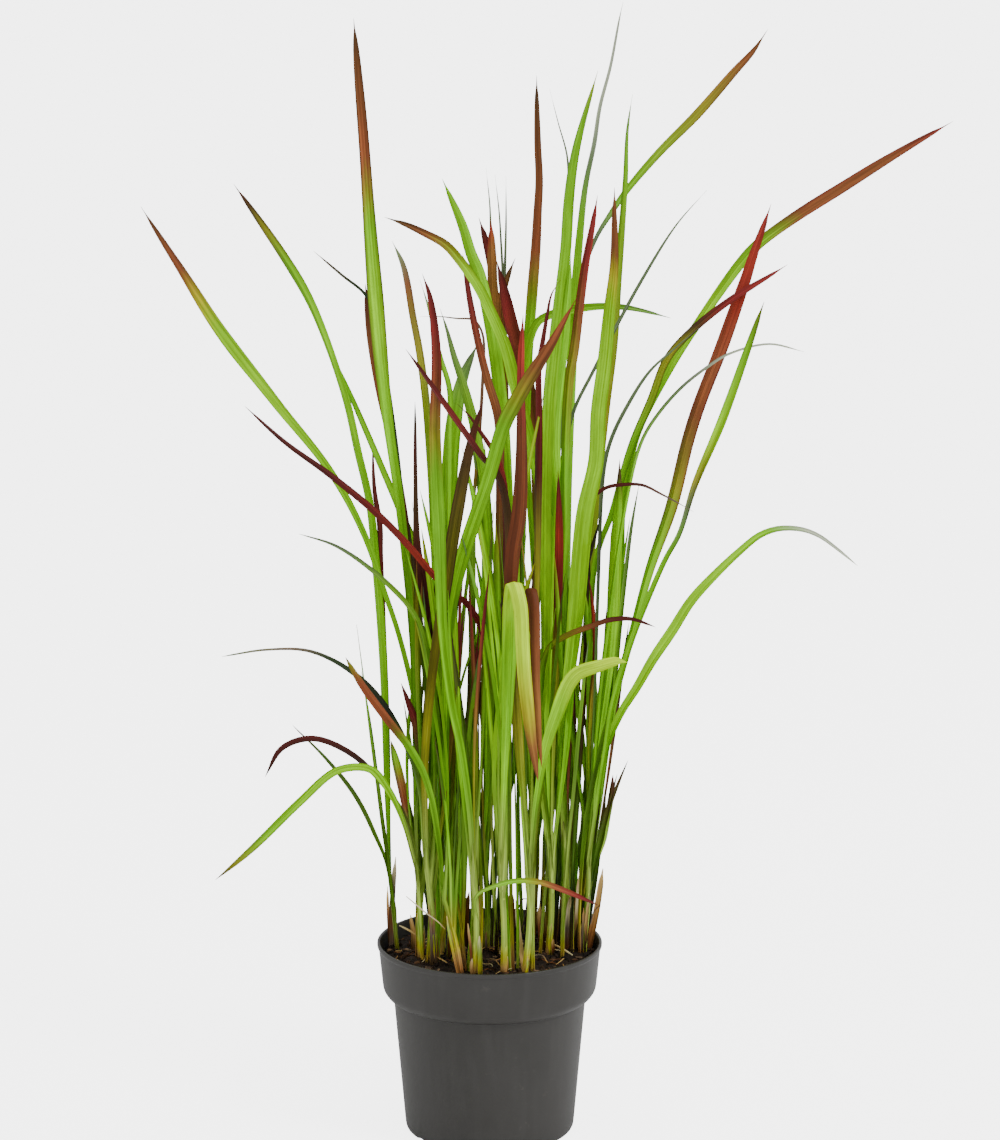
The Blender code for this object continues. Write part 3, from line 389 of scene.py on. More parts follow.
# A look lists colours from foot (0) to tip (1) as "place colour place colour ...".  Widths in mm
# are listed the same way.  Large blades: look, widths (or None for the plain form), and for the
# blades whose margins turn first the margin's colour and where it starts and ends.
LOOKS = {
    "leaf_olive_left": (
        "0 green .3 fresh .8 fresh .87 green .92 olive .96 umber 1 maroon",
        "0 2.6 .3 4.6 .5 5.2 .62 4.6 .72 4.4 .85 6.6 .93 4.8 .98 2.4 1 .5", "umber", 0.78, 0.95),
    "leaf_low_left": (
        "0 mid .4 dark .8 dark 1 maroon",
        "0 2 .3 3 .55 4 .75 3.4 .9 2 1 .5"),
    "leaf_lime_arch_left": (
        "0 stalk .2 lime .5 lime .8 fresh .93 olive 1 umber",
        None),
    "leaf_tall_left": (
        "0 green .4 green .55 fresh .66 lime .76 fresh .80 olive .84 russet .90 brown 1 umber",
        "0 2.4 .3 3.6 .5 5.2 .6 7.8 .67 8.6 .75 7.6 .83 6.3 .9 5.2 .96 3.7 1 .6", "umber", 0.5, 0.9),
    "leaf_purple_arch_left": (
        "0 mid .25 umber .4 black .7 maroon .9 maroon 1 black",
        None),
    "leaf_dark_brown": (
        "0 dark .15 olive .3 olive .42 moss .7 moss .88 umber 1 maroon",
        "0 3 .4 5 .6 6.6 .8 6.4 .92 4.4 1 .5", "umber", 0.4, 1.0),
    "leaf_dark_arch_left": (
        "0 mid .25 dark .45 black .7 deep .8 ash 1 grey",
        "0 2.5 .25 3.4 .5 3.9 .66 2.8 .82 1.5 .93 1.2 1 .4"),
    "leaf_outer_left": (
        "0 mid .3 green .55 fresh .68 lime .80 lime .85 gold .90 russet .95 brown 1 umber",
        "0 2.6 .35 3.6 .5 4.6 .58 5.6 .68 8 .77 9.6 .86 8.4 .95 4.8 1 .5", "brown", 0.86, 0.98),
    "leaf_maroon_left": (
        "0 mid .22 dark .34 maroon .7 maroon .78 umber .9 maroon 1 deep",
        "0 2.4 .2 3.4 .36 6.4 .48 8 .6 7.2 .7 4 .8 2.4 .92 2 1 .5"),
    "leaf_diagonal_front": (
        "0 green .4 fresh .68 fresh .76 green .82 olive .88 brown .95 russet 1 wine",
        None),
    "leaf_olive_arch_left": (
        "0 green .5 mid .75 mid .9 grey 1 grey",
        "0 2.4 .4 3 .75 3.2 .9 2.2 1 .5"),
    "leaf_broad_left": (
        "0 green .35 fresh .52 green .66 green .72 olive .80 brown .90 wine 1 maroon",
        "0 3 .3 4.5 .5 6 .62 6.8 .74 6.2 .84 5.2 .93 3.6 1 .5", "wine", 0.74, 0.95),
    "leaf_short_red_left": (
        "0 mid .3 dark .42 brown .5 crimson .68 rust .76 olive .9 green 1 maroon",
        None),
    "leaf_short_orange_left": (
        "0 mid .6 green .68 brown .74 russet .90 russet .95 olive 1 umber",
        "0 2.4 .4 4 .6 5.8 .8 5.8 .93 4.4 1 .6"),
    "leaf_crimson_arch_left": (
        "0 green .3 mid .42 wine .52 wine .62 crimson .72 wine .88 maroon 1 maroon",
        "0 2.6 .4 3.6 .6 4.4 .8 4.4 .93 3 1 .5"),
    "leaf_crimson_inner_left": (
        "0 green .3 mid .5 moss .62 mahogany .8 brown .92 wine 1 maroon",
        "0 2.6 .5 4 .75 4.6 .9 3.8 .96 2.6 1 .5"),
    "leaf_bowed_green": (
        "0 mid .5 green .85 fresh 1 grey",
        "0 3 .4 5.5 .6 8.5 .85 9 .94 6 1 .5"),
    "leaf_olive_tip_left": (
        "0 green .5 green .8 olive .92 brown 1 grey",
        "0 2.4 .4 3.4 .6 4.4 .8 5.4 .92 5 .97 3.2 1 .5"),
    "leaf_folded_centre": (
        "0 stalk .2 lime .3 fresh .44 fresh .52 lime .6 pale .74 pale .86 gold .93 rust 1 brown",
        "0 2.2 .1 2.6 .22 3.8 .34 6.6 .44 7.8 .78 7.8 .88 6.2 .96 3.4 1 .5"),
    "leaf_crimson_diagonal": (
        "0 mid .4 olive .52 brown .62 umber .75 maroon .88 wine 1 maroon",
        "0 2.4 .4 3 .6 4.4 .75 4.8 .9 4 .96 2.6 1 .5"),
    "leaf_bent_lime": (
        "0 green .3 fresh .5 lime .66 lime .85 pale 1 pale",
        "0 2 .2 2.6 .4 4.2 .55 6.2 .68 7.8 .85 7.4 .93 5.8 .97 3.8 1 .5"),
    "leaf_crimson_centre": (
        "0 green .25 olive .34 moss .44 mahogany .80 mahogany .88 wine .96 crimson 1 wine",
        "0 3 .35 6 .5 8.2 .66 8.4 .76 6.6 .88 4.6 .94 4 1 .5"),
    "leaf_purple_tip_low": (
        "0 green .55 green .68 olive .78 brown .88 maroon 1 maroon",
        "0 2 .5 2.8 .75 3 .9 2.6 1 .6"),
    "leaf_lime_centre_right": (
        "0 fresh .4 lime .8 fresh .93 green 1 olive",
        "0 3 .3 5.5 .5 8 .7 8.4 .82 7.4 .9 5.4 .96 3 1 .5"),
    "leaf_broad_right": (
        "0 fresh .3 lime .82 lime .87 gold .92 brown 1 brown",
        "0 3.4 .2 5.5 .36 9 .5 10.2 .66 8.8 .81 7 .89 5.2 .95 3.6 1 .5"),
    "leaf_crimson_edged": (
        "0 green .6 green .74 olive .82 brown .90 wine 1 wine",
        "0 2.4 .4 4 .6 5 .75 5 .88 4.8 .95 3.4 1 .5", "crimson", 0.76, 1.0),
    "leaf_green_right": (
        "0 green .4 fresh .55 green .64 grey .70 olive .80 lime .92 green 1 maroon",
        "0 1.8 .3 2.8 .5 3.1 .62 2.6 .7 3.7 .8 5.2 .9 4.6 .96 3 1 .5"),
    "leaf_purple_right": (
        "0 mid .3 green .66 green .78 olive .83 umber .88 wine 1 wine",
        "0 2 .35 2.6 .55 3.7 .7 4.2 .85 4.8 .93 3.6 1 .5", "black", 0.5, 0.84),
    "leaf_thin_arch_right": (
        "0 green .6 fresh .8 grey .92 faded 1 faded",
        "0 1.6 .5 2.2 .7 1.7 .85 1.3 1 .6"),
    "leaf_red_right": (
        "0 green .3 fresh .46 fresh .56 olive .66 brown .76 russet .84 crimson .93 crimson 1 wine",
        "0 2.4 .3 4 .45 5.4 .55 7 .68 8 .8 7.8 .9 6.2 .96 4 1 .5", "wine", 0.36, 0.74),
    "leaf_outer_right": (
        "0 green .35 fresh .55 fresh .66 lime .74 green .80 brown .92 brown 1 wine",
        "0 2.2 .3 3 .5 3.8 .62 4.8 .72 7 .82 7.4 .9 6.2 .96 4 1 .5", "wine", 0.68, 1.0),
    "leaf_arching_right": (
        "0 green .3 lime .72 lime .82 fresh .9 faded 1 faded",
        "0 2.4 .3 4.4 .5 5.6 .65 5 .78 3.6 .88 2.1 1 .6"),
    "leaf_lime_upper": (
        "0 green .4 lime .8 fresh 1 fresh",
        "0 2.4 .5 4.8 .7 7.4 .85 7 .94 4.6 1 .5"),
    "leaf_tall_centre": (
        "0 green .5 fresh .68 fresh .73 olive .78 russet .88 brown 1 umber",
        "0 3 .4 5 .6 7 .72 7 .82 5.6 .92 5 .97 3.2 1 .5", "brown", 0.66, 0.9),
    "leaf_russet_centre": (
        "0 mid .4 green .55 moss .68 brown .82 mahogany .93 wine 1 maroon",
        "0 3 .4 4.6 .6 7 .8 8 .92 6.6 .97 3.6 1 .5"),
    "leaf_level_right": (
        "0 green .6 lime .9 green 1 grey",
        "0 2.4 .6 3.2 .75 4.8 .85 4.7 .93 3.2 1 .6"),
    "leaf_thin_reaching": (
        "0 mid .4 grey .72 grey .78 green .90 olive .96 brown 1 umber",
        "0 1.6 .4 1.7 .6 1.6 .7 1.9 .8 4.4 .88 5.4 .95 3.9 1 .6", "brown", 0.8, 1.0),
    "leaf_broad_upper": (
        "0 green .4 fresh .7 lime .86 lime .91 olive .95 brown 1 umber",
        "0 2.6 .3 4.4 .5 6 .7 6.6 .82 5.8 .9 4.6 .96 3 1 .5"),
    "leaf_tall_right": (
        "0 mid .4 green .6 fresh .74 green .82 grey .92 faded 1 faded",
        "0 2 .4 4.4 .6 5.4 .72 4.4 .8 2.6 .88 1.7 .95 1.3 1 .6"),
}

# Blades folded over towards the front keep their width along this direction.
FOLDED = {"leaf_folded_centre": (1, 0, 0), "leaf_bent_lime": (1, 0, -0.6)}
KEYS = {name: 1.37 * k + 0.5 for k, name in enumerate(sorted(BLADES))}

# Smaller blades: stalk, full width (or widths along it), facing, twist, look, route to the tip.
MORE = [
    ("shoot_06", 3.2, 40, 10, "0 green .5 green .62 olive .72 russet .88 wine 1 maroon", [
        (-7, -46, 152), (6, -47, 159), (17, -47, 161), (28, -47, 160), (44, -46, 154),
        (61, -44, 146)]),
    ("shoot_04", 4.6, 20, 20, "0 green .5 fresh 1 fresh", [
        (-30, 6, 220), (-35, 8, 290), (-41, 12, 335), (-52, 18, 362), (-64, 25, 389),
        (-80, 33, 425), (-92, 38, 452)]),
    ("shoot_13", 6.2, 10, 10, "0 green .4 fresh .7 lime .88 fresh .95 umber 1 umber", [
        (62, 4, 225), (69, 6, 283), (71.5, 7, 340), (73, 8, 372), (73.5, 8, 391)]),
    ("shoot_02", "0 2 .5 4 .8 4.6 .93 4.6 .97 3.4 1 .5", 10, 10,
     "0 green .5 olive .62 wine .9 brown 1 maroon", [
        (-41, -2, 250), (-45, 6, 330), (-53, 14, 385), (-63.5, 20, 435), (-67, 22, 457),
        (-69, 24, 477), (-70, 24, 489)]),
    ("shoot_02", "0 2 .5 2.4 .85 2.2 .96 1.5 1 .5", 20, 20, "0 mid .5 dark .7 deep .94 deep 1 ash", [
        (-42, 4, 260), (-50, 10, 380), (-60, 15, 450), (-68, 19, 481), (-83, 22, 494),
        (-99, 25, 507)]),
    ("shoot_03", 4.0, -20, 30, "0 mid .5 dark .8 wine 1 maroon", [
        (-37, -14, 200), (-42, -12, 243), (-46, -11, 255), (-50, -10, 266)]),
    ("shoot_01", 3.5, 10, 20, "0 mid .4 dark .6 wine 1 maroon", [
        (-59, 22, 220), (-62, 25, 300), (-63, 26, 335), (-63, 27, 350), (-66, 28, 371),
        (-67, 29, 400)]),
    ("shoot_16", "0 2 .5 4 .8 5 .93 5 .97 4 1 .5", 15, 10,
     "0 mid .55 brown .8 brown .93 wine 1 maroon", [
        (8, 56, 250), (7, 70, 340), (6, 80, 400), (5, 92, 445), (2.4, 96, 481), (0, 98, 498),
        (-3.5, 99, 513), (-6.5, 100, 523)]),
    ("shoot_16", "0 2 .5 4 .8 5 .93 5.4 .97 4 1 .5", 10, 0,
     "0 green .5 olive .7 rust .95 rust .98 crimson 1 wine", [
        (8, 58, 260), (7, 66, 360), (6, 78, 405), (3.6, 86, 452), (1.9, 88, 481), (1.3, 88, 504),
        (0.7, 88, 523)]),
    ("shoot_15", 1.9, 0, 0, "0 mid .5 grey 1 grey", [
        (2, 62, 310), (6, 86, 399), (3.6, 98, 445), (1.8, 102, 480), (0.6, 103, 510),
        (0, 104, 530), (-2.3, 104, 552)]),
    ("shoot_16", 1.9, 0, 20, "0 mid .5 grey 1 grey", [
        (10, 62, 300), (10, 86, 399), (9, 98, 451), (7.8, 102, 483), (6.6, 103, 507),
        (5.4, 104, 527), (3, 104, 548)]),
    ("shoot_17", 1.9, 0, 20, "0 mid .5 grey 1 grey", [
        (16, 60, 300), (10.7, 84, 399), (9.6, 96, 445), (8.4, 99, 475), (9, 100, 498),
        (9.6, 101, 522), (9.6, 101, 547)]),
    ("shoot_17", "0 2 .5 3.4 .8 4 .93 4.6 .97 3.4 1 .5", 15, 10,
     "0 green .5 olive .7 brown .92 rust 1 umber", [
        (14, 60, 300), (9.5, 78, 400), (8, 88, 449), (6.6, 92, 472), (10.7, 94, 488),
        (15, 95, 499.5)]),
    ("shoot_10", 4.5, 20, 25, "0 mid .5 olive .66 maroon .85 wine 1 maroon", [
        (24, -30, 250), (26, -28, 350), (27, -26, 420), (27, -26, 447), (29, -26, 460),
        (31.6, -26, 475), (34, -27, 486), (39, -28, 494)]),
    ("shoot_17", 1.6, 0, 10, "0 mid .5 grey 1 grey", [
        (34, 44, 300), (42, 44, 420), (45, 44, 500), (45, 44, 540), (44, 44, 560), (39, 44, 578),
        (34, 44, 597)]),
    ("shoot_18", 4.5, 15, 20, "0 green .6 olive .9 green 1 grey", [
        (50, 34, 240), (56, 36, 300), (61, 38, 360), (67, 40, 420), (71, 41, 455), (73, 42, 490),
        (75, 43, 518), (77, 44, 546), (78, 44, 573), (81, 45, 594)]),
    ("shoot_11", 5.0, 10, 20, "0 mid .5 olive .7 wine .85 crimson 1 maroon", [
        (36, -2, 240), (38, -2, 300), (39, -2, 340), (39, -2, 362), (38.5, -2, 386)]),
    ("shoot_17", 2.2, 20, 20, "0 mid .5 grey 1 grey", [
        (34, 40, 260), (40, 38, 340), (44, 36, 395), (49, 34, 417), (59, 32, 438), (72, 30, 464),
        (86, 28, 490), (105, 26, 521), (122, 24, 541)]),
    ("shoot_05", 3.5, 15, 20, "0 green .5 fresh .9 green 1 grey", [
        (-26, 4, 240), (-24, 8, 320), (-23, 12, 400), (-23, 14, 430), (-28, 16, 448),
        (-35, 18, 478), (-39, 20, 491)]),
    ("shoot_08", 5.0, -15, 25, "0 green .5 fresh .85 mid 1 grey", [
        (-2, 8, 240), (-1, 12, 320), (-1, 14, 357), (-6, 16, 397), (-15, 18, 433), (-20, 20, 448),
        (-24, 22, 463), (-28, 24, 475)]),
    ("shoot_09", 3.5, 10, 15, "0 green .5 olive .66 maroon .85 wine 1 maroon", [
        (8, -20, 250), (9, -14, 330), (8, -10, 380), (4, -8, 394), (-4, -7, 407), (-11, -6, 417),
        (-18, -6, 424)]),
    ("shoot_13", 2.4, 20, 20, "0 green .5 grey 1 grey", [
        (60, 4, 250), (62, 6, 320), (65, 8, 385), (69, 9, 402), (78, 10, 421), (90, 11, 440),
        (104, 12, 453), (118, 13, 465)]),
    ("shoot_12", 2.2, 25, 25, "0 mid .4 umber .6 wine .85 maroon 1 ash", [
        (44, -2, 240), (46, -6, 300), (50, -10, 350), (56, -13, 370), (65, -16, 378),
        (74, -18, 380), (85, -20, 380), (96, -23, 375), (104, -25, 371), (113, -27, 366)]),
    ("shoot_14", 3.2, 10, 20, "0 green .5 mid .8 umber 1 maroon", [
        (66, 10, 168), (68, 9, 183), (70, 9, 196), (71, 9, 208)]),
    ("shoot_14", 2.4, 0, 20, "0 green .6 mid 1 grey", [
        (70, 12, 240), (75, 10, 300), (78, 9, 330), (80, 8, 348), (82, 7, 362), (84.5, 6, 377)]),
    ("shoot_15", 2.0, 10, 20, "0 mid .5 olive .7 brown 1 ash", [
        (-18, 40, 250), (-10, 46, 350), (-4, 50, 430), (-4, 52, 458), (-9, 53, 466),
        (-19, 54, 467), (-28, 55, 468), (-40, 56, 468)]),
    ("shoot_11", "0 2.4 .4 4 .6 5 .8 5 .92 3.4 1 .5", 10, 10,
     "0 green .4 olive .5 brown .62 mahogany .8 brown .9 rust 1 brown", [
        (26, -20, 240), (22, -30, 300), (22, -42, 320), (23, -48, 327), (25, -53, 318),
        (25.5, -56, 300), (25.5, -57, 281), (26.5, -57, 262), (27.5, -57, 245), (29, -56, 228)]),
    ("shoot_05", 4.5, 10, 10, "0 mid .4 umber .6 wine .85 crimson 1 maroon", [
        (-25, -10, 185), (-26, -11, 209), (-26, -11, 228), (-25, -12, 245)]),
    ("shoot_13", 3.0, 10, 20, "0 green .5 olive .7 wine .85 crimson 1 maroon", [
        (57, 6, 240), (60, 6, 275), (60, 6, 290), (58, 6, 312), (56, 6, 325)]),
    ("shoot_11", 7.0, -15, 25, "0 fresh .5 lime .85 fresh 1 green", [
        (33, 6, 250), (36, 10, 330), (38, 12, 369), (36, 14, 400), (38, 16, 430), (42, 17, 460),
        (44, 18, 480), (46, 19, 505)]),
]

# The young blades inside the clump take one of these, by whether they stand in front or behind. The
# looks behind are darker, partly from the leaves' own darker tones and partly as painted shade of
# the clump's inside.
FRONT_LOOKS = [
    "0 sheath .3 green .8 green 1 grey", "0 sheath .3 fresh .8 green 1 olive",
    "0 sheath .3 fresh .7 lime .9 fresh 1 green", "0 mid .4 dark .8 mid 1 grey",
    "0 dark .5 mid .85 olive 1 brown", "0 sheath .4 mid .7 green .9 mid 1 umber",
    "0 mid .4 olive .65 brown .85 wine 1 maroon", "0 sheath .4 lime .8 lime 1 olive",
    "0 dark .4 dark .8 umber 1 black", "0 olive .4 mid .8 dark 1 umber",
]
BACK_LOOKS = [
    "0 umber .3 dark .8 mid 1 grey", "0 dark .3 mid .8 green 1 olive",
    "0 umber .4 olive .8 mid 1 brown", "0 mid .5 green .9 fresh 1 green",
    "0 black .4 umber .7 maroon 1 maroon", "0 dark .5 dark .9 mid 1 grey",
    "0 umber .3 brown .7 umber 1 black", "0 mid .4 fresh .8 fresh 1 mid",
]
# Short near-black shoots behind the clump take this look: painted shade of the clump's inside.
SHADED_LOOK = "0 dark .4 dark .8 umber 1 deep"
STALK_LOOKS = {
    "stalk": "0 umber .05 tan .14 gold .30 stalk .65 stalk 1 sheath",
    "green": "0 umber .05 olive .16 stalk .5 fresh 1 green",
    "dark_green": "0 umber .06 olive .2 sheath .5 mid 1 mid",
    "olive": "0 umber .05 rust .22 tan .4 gold .7 olive 1 mid",
    "dry": "0 umber .1 ash .5 brown .8 ash 1 mid",
    # painted shade: stalk colours of the short dark shoots behind the clump
    "shaded": "0 black .2 umber .5 deep 1 dark",
}

# Dry sheaths and stubs: foot, top, width, how far it wraps (0 flat, 1 round), look.
STUBS = [
    ((-57, 14, 104), (-54.5, 13, 158), 3.4, 0.5, "0 ash .3 brown .6 ash 1 bone"),
    ((-34, -2, 104), (-31, -4, 143), 3.0, 0.7, "0 straw .3 gold .6 tan 1 rust"),
    ((-28, -3, 104), (-22, -4, 148), 2.6, 0.6, "0 straw .4 gold .8 olive 1 tan"),
    ((-5.2, -44, 104), (-5.6, -44, 128), 3.0, 0.8, "0 umber .2 gold .6 stalk 1 bone"),
    ((-17, -43, 104), (-24, -42, 139), 2.0, 0.7, "0 rust .3 tan .5 gold .8 stalk 1 straw"),
    ((12, -7, 104), (12.5, -6, 144), 6.0, 0.75, "0 umber .4 umber .7 brown .9 brown 1 tan"),
    ((8, -9, 104), (9.5, -10, 143), 2.6, 0.4, "0 tan .4 bone .8 straw 1 rust"),
    ((20, -40, 104), (15, -14, 140), 2.6, 0.4, "0 tan .4 straw .8 bone 1 tan"),
    ((49, 6, 104), (52, 4, 152), 3.2, 0.6, "0 ash .3 tan .6 bone 1 tan"),
    ((45, 3, 104), (47, 1, 140), 3.0, 0.6, "0 brown .4 ash .7 bone 1 rust"),
    ((57, 7, 104), (65.5, 6, 153), 3.8, 0.5, "0 brown .25 rust .6 tan 1 straw"),
    ((51, 12, 104), (50, 12, 135), 3.0, 0.6, "0 umber .5 brown 1 tan"),
    ((-44, 8, 104), (-46, 10, 124), 3.0, 0.5, "0 umber .5 tan 1 straw"),
    ((-14, 14, 104), (-12, 16, 136), 4.0, 0.7, "0 umber .5 brown 1 rust"),
    ((-6, 12, 104), (-8, 14, 150), 3.2, 0.6, "0 umber .5 russet 1 wine"),
    ((31, 4, 104), (29, 6, 132), 3.4, 0.6, "0 umber .5 brown 1 straw"),
]


def colour_at(look, s):
    """Colour of a look, written as "place colour place colour ...", at the shares s."""
    words = look.split()
    places = [float(w) for w in words[::2]]
    colours = np.array([PALETTE[w] for w in words[1::2]])
    s = np.clip(s, 0, 1)
    return np.stack([np.interp(s, places, colours[:, k]) for k in range(3)], -1)


def wobble(x, y, z):
    """Smooth noise from about -1 to 1."""
    return noise.noise(Vector((x, y, z)))


# ------------------------------------------------------------------ mesh building
def new_object(name, mesh):
    obj = bpy.data.objects.new(name, mesh)
    bpy.context.collection.objects.link(obj)
    return obj


def mesh_of(name, bm):
    mesh = bpy.data.meshes.new(name)
    bm.to_mesh(mesh)
    bm.free()
    return mesh


class Shape:
    """Closed bodies gathered into one mesh, which is one piece of the model.

    Each vertex has a colour ("tint") and its place on the strip ("strip": distance along,
    distance across, a number that differs from strip to strip), which the materials read.
    """

    def __init__(self):
        self.co, self.tint, self.strip, self.faces, self.count = [], [], [], [], 0

    def add(self, co, tint, strip, faces):
        self.co.append(co)
        self.tint.append(tint)
        self.strip.append(strip)
        self.faces += [tuple(int(i) + self.count for i in f) for f in faces]
        self.count += len(co)

    def rings(self, rings, tint, strip, caps):
        """A skin over equal rings; caps lists the faces that close one ring."""
        rows, around = rings.shape[:2]
        faces = []
        for r in range(rows - 1):
            low, high = r * around, (r + 1) * around
            for k in range(around):
                n = (k + 1) % around
                faces.append((low + k, low + n, high + n, high + k))
        last = (rows - 1) * around
        faces += [tuple(reversed(c)) for c in caps]
        faces += [tuple(last + i for i in c) for c in caps]
        self.add(rings.reshape(-1, 3), tint.reshape(-1, 3), strip.reshape(-1, 3), faces)

    def make(self, name, slot, *nodes, crease=50.0):
        """One piece of the model; nodes are the CAD nodes that it replaces."""
        mesh = bpy.data.meshes.new(name)
        mesh.from_pydata([tuple(v) for v in np.concatenate(self.co) * MM], [], self.faces)
        bm = bmesh.new()
        bm.from_mesh(mesh)
        bmesh.ops.recalc_face_normals(bm, faces=bm.faces)
        bm.to_mesh(mesh)
        bm.free()
        tint = np.concatenate(self.tint)
        tint = np.hstack([tint, np.ones((len(tint), 1))]).astype(np.float32)
        strip = np.concatenate(self.strip).astype(np.float32)
        layers = mesh.attributes
        layers.new("tint", "FLOAT_COLOR", "POINT").data.foreach_set("color", tint.ravel())
        layers.new("strip", "FLOAT_VECTOR", "POINT").data.foreach_set("vector", strip.ravel())
        mesh.shade_smooth()
        mesh.set_sharp_from_angle(angle=math.radians(crease))
        mesh.materials.append(MATS[slot])
        obj = new_object(name, mesh)
        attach(obj, "root")
        if nodes:
            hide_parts(*nodes)


ACROSS = 9          # points across a blade's upper face
RING_STEP = 5.0     # distance between a blade's rings
THICK = 0.30        # blade thickness at the foot, where the midrib adds to it
TIP = 0.06          # half width at the very tip
SLIM = 0.50         # living stalks are slimmer than the solids that stand for them
CLUMP_X = 8.0       # middle of the clump
FRONT_Y = -15.0     # stalks nearer than this stand in the front row
STRIP_CAPS = ([(0, 1, 2 * ACROSS - 3)]
              + [(k, k + 1, 2 * ACROSS - 3 - k, 2 * ACROSS - 2 - k) for k in range(1, ACROSS - 2)]
              + [(ACROSS - 2, ACROSS - 1, ACROSS)])


def strip_places(along, across, key):
    """Values of the "strip" layer for rings at along with points at across."""
    return np.stack(np.broadcast_arrays(along[:, None], across, float(key)), -1)


def strip_sections(half, curl, fold, thick):
    """Local x, y of each ring of a blade: across the upper face, then back underneath."""
    u = np.linspace(-1, 1, ACROSS)[None, :]
    half, curl, fold, thick = (np.asarray(a, float)[:, None] for a in (half, curl, fold, thick))
    curl = np.where(abs(curl) < 1e-4, 1e-4, curl)
    bend = curl * u * half
    x = np.sin(bend) / curl
    y = (1 - np.cos(bend)) / curl + fold * half * (np.sqrt(u * u + 0.015) - 0.12)
    dx, dy = np.gradient(x, axis=1), np.gradient(y, axis=1)
    size = np.hypot(dx, dy) + 1e-9
    nx, ny = -dy / size, dx / size
    skin = 0.5 * thick * (0.35 + 0.65 * (1 - abs(u) ** 3))
    midrib = 0.7 * thick * np.exp(-(u / 0.15) ** 2)
    under = skin + midrib
    top = np.stack([x + nx * skin, y + ny * skin], -1)
    low = np.stack([x - nx * under, y - ny * under], -1)[:, ::-1][:, 1:-1]
    around = np.concatenate([u[0], u[0][::-1][1:-1]])
    return np.concatenate([top, low], 1), around


def lay_blade(shape, curve, wide, face, half, curl, fold, thick, look, key, edge=None,
              s_from=0.0, foot=None):
    """Adds one closed blade along a centreline with its width and face directions.

    key tells its noise from other blades'. edge is the margin's colour with the shares where it
    starts and ends. foot holds the stalk's colours, which give way to the blade's own near the
    distance s_from.
    """
    section, around = strip_sections(half, curl, fold, thick)
    rings = (curve[:, None] + section[..., :1] * wide[:, None] + section[..., 1:] * face[:, None])
    reach = reach_along(curve)
    s = np.clip((reach - s_from) / (reach[-1] - s_from), 0, 1)
    drift = np.array([wobble(key * 3.7, d * 0.02, 0.5) for d in reach])
    streak = np.array([wobble(key * 1.9, u * 2.2, 7.5) for u in around])
    margin = abs(around)
    lift = 0.035 * margin ** 2 + 0.03 * streak
    at = s[:, None] + lift * (s * (1 - 0.4 * s))[:, None] + 0.03 * drift[:, None]
    tint = colour_at(look, at * np.clip(s * 40, 0, 1)[:, None])
    if edge:
        colour, low, high = edge
        ramp = ease(s, low, low + 0.15) * (1 - ease(s, high, high + 0.1))
        share = ramp[:, None] * ease(margin, 0.62, 0.95)
        tint += share[..., None] * (np.array(PALETTE[colour]) - tint)
    if foot is not None:
        grown = ease(reach, 0.5 * s_from, s_from + 55.0)[:, None, None]
        tint = foot[:, None] * (1 - grown) + tint * grown
    # One lengthwise half of each blade is painted up to a tenth lighter than the other: painted
    # shade, as if light fell on one half of the fold.
    side = 1 + 0.10 * math.sin(key * 2.3) * np.sign(around)
    rim = 1 - 0.22 * ease(margin, 0.86, 1.0)
    patch = 1 + 0.16 * drift[:, None] + 0.10 * streak
    tint = np.clip(tint * (side * rim * patch)[..., None], 0.002, 0.95)
    shape.rings(rings, tint, strip_places(reach, around * half[:, None], key), STRIP_CAPS)


def fold_along(s, key, amount=0.60):
    """Depth of the open fold: strongest in the lower half, almost flat near the tip."""
    wave = 1 + 0.35 * np.sin(9.0 * s + key)
    return amount * wave * (1 - 0.65 * ease(s, 0.35, 0.95)) * ease(s, 0.02, 0.2)


# ------------------------------------------------------------------ stalks
def stalk_axis(shoot, z):
    """Centre of a stalk at height z, straight between its root and top with a slight bow."""
    root, top = SHOOTS[shoot][:2]
    start = SOIL_Z + FIT_GAP
    t = (np.asarray(z, float) - start) / (top[2] - start)
    bow = 1.2 * np.sin(math.pi * np.clip(t, 0, 1))
    return np.stack([root[0] + (top[0] - root[0]) * t + bow,
                     root[1] + (top[1] - root[1]) * t, np.asarray(z, float)], -1)


def stalk_radius(shoot, z):
    _, top, d0, d1, _ = SHOOTS[shoot]
    t = np.clip((np.asarray(z, float) - SOIL_Z) / (top[2] - SOIL_Z), 0, 1)
    return 0.5 * (d0 + (d1 - d0) * t)


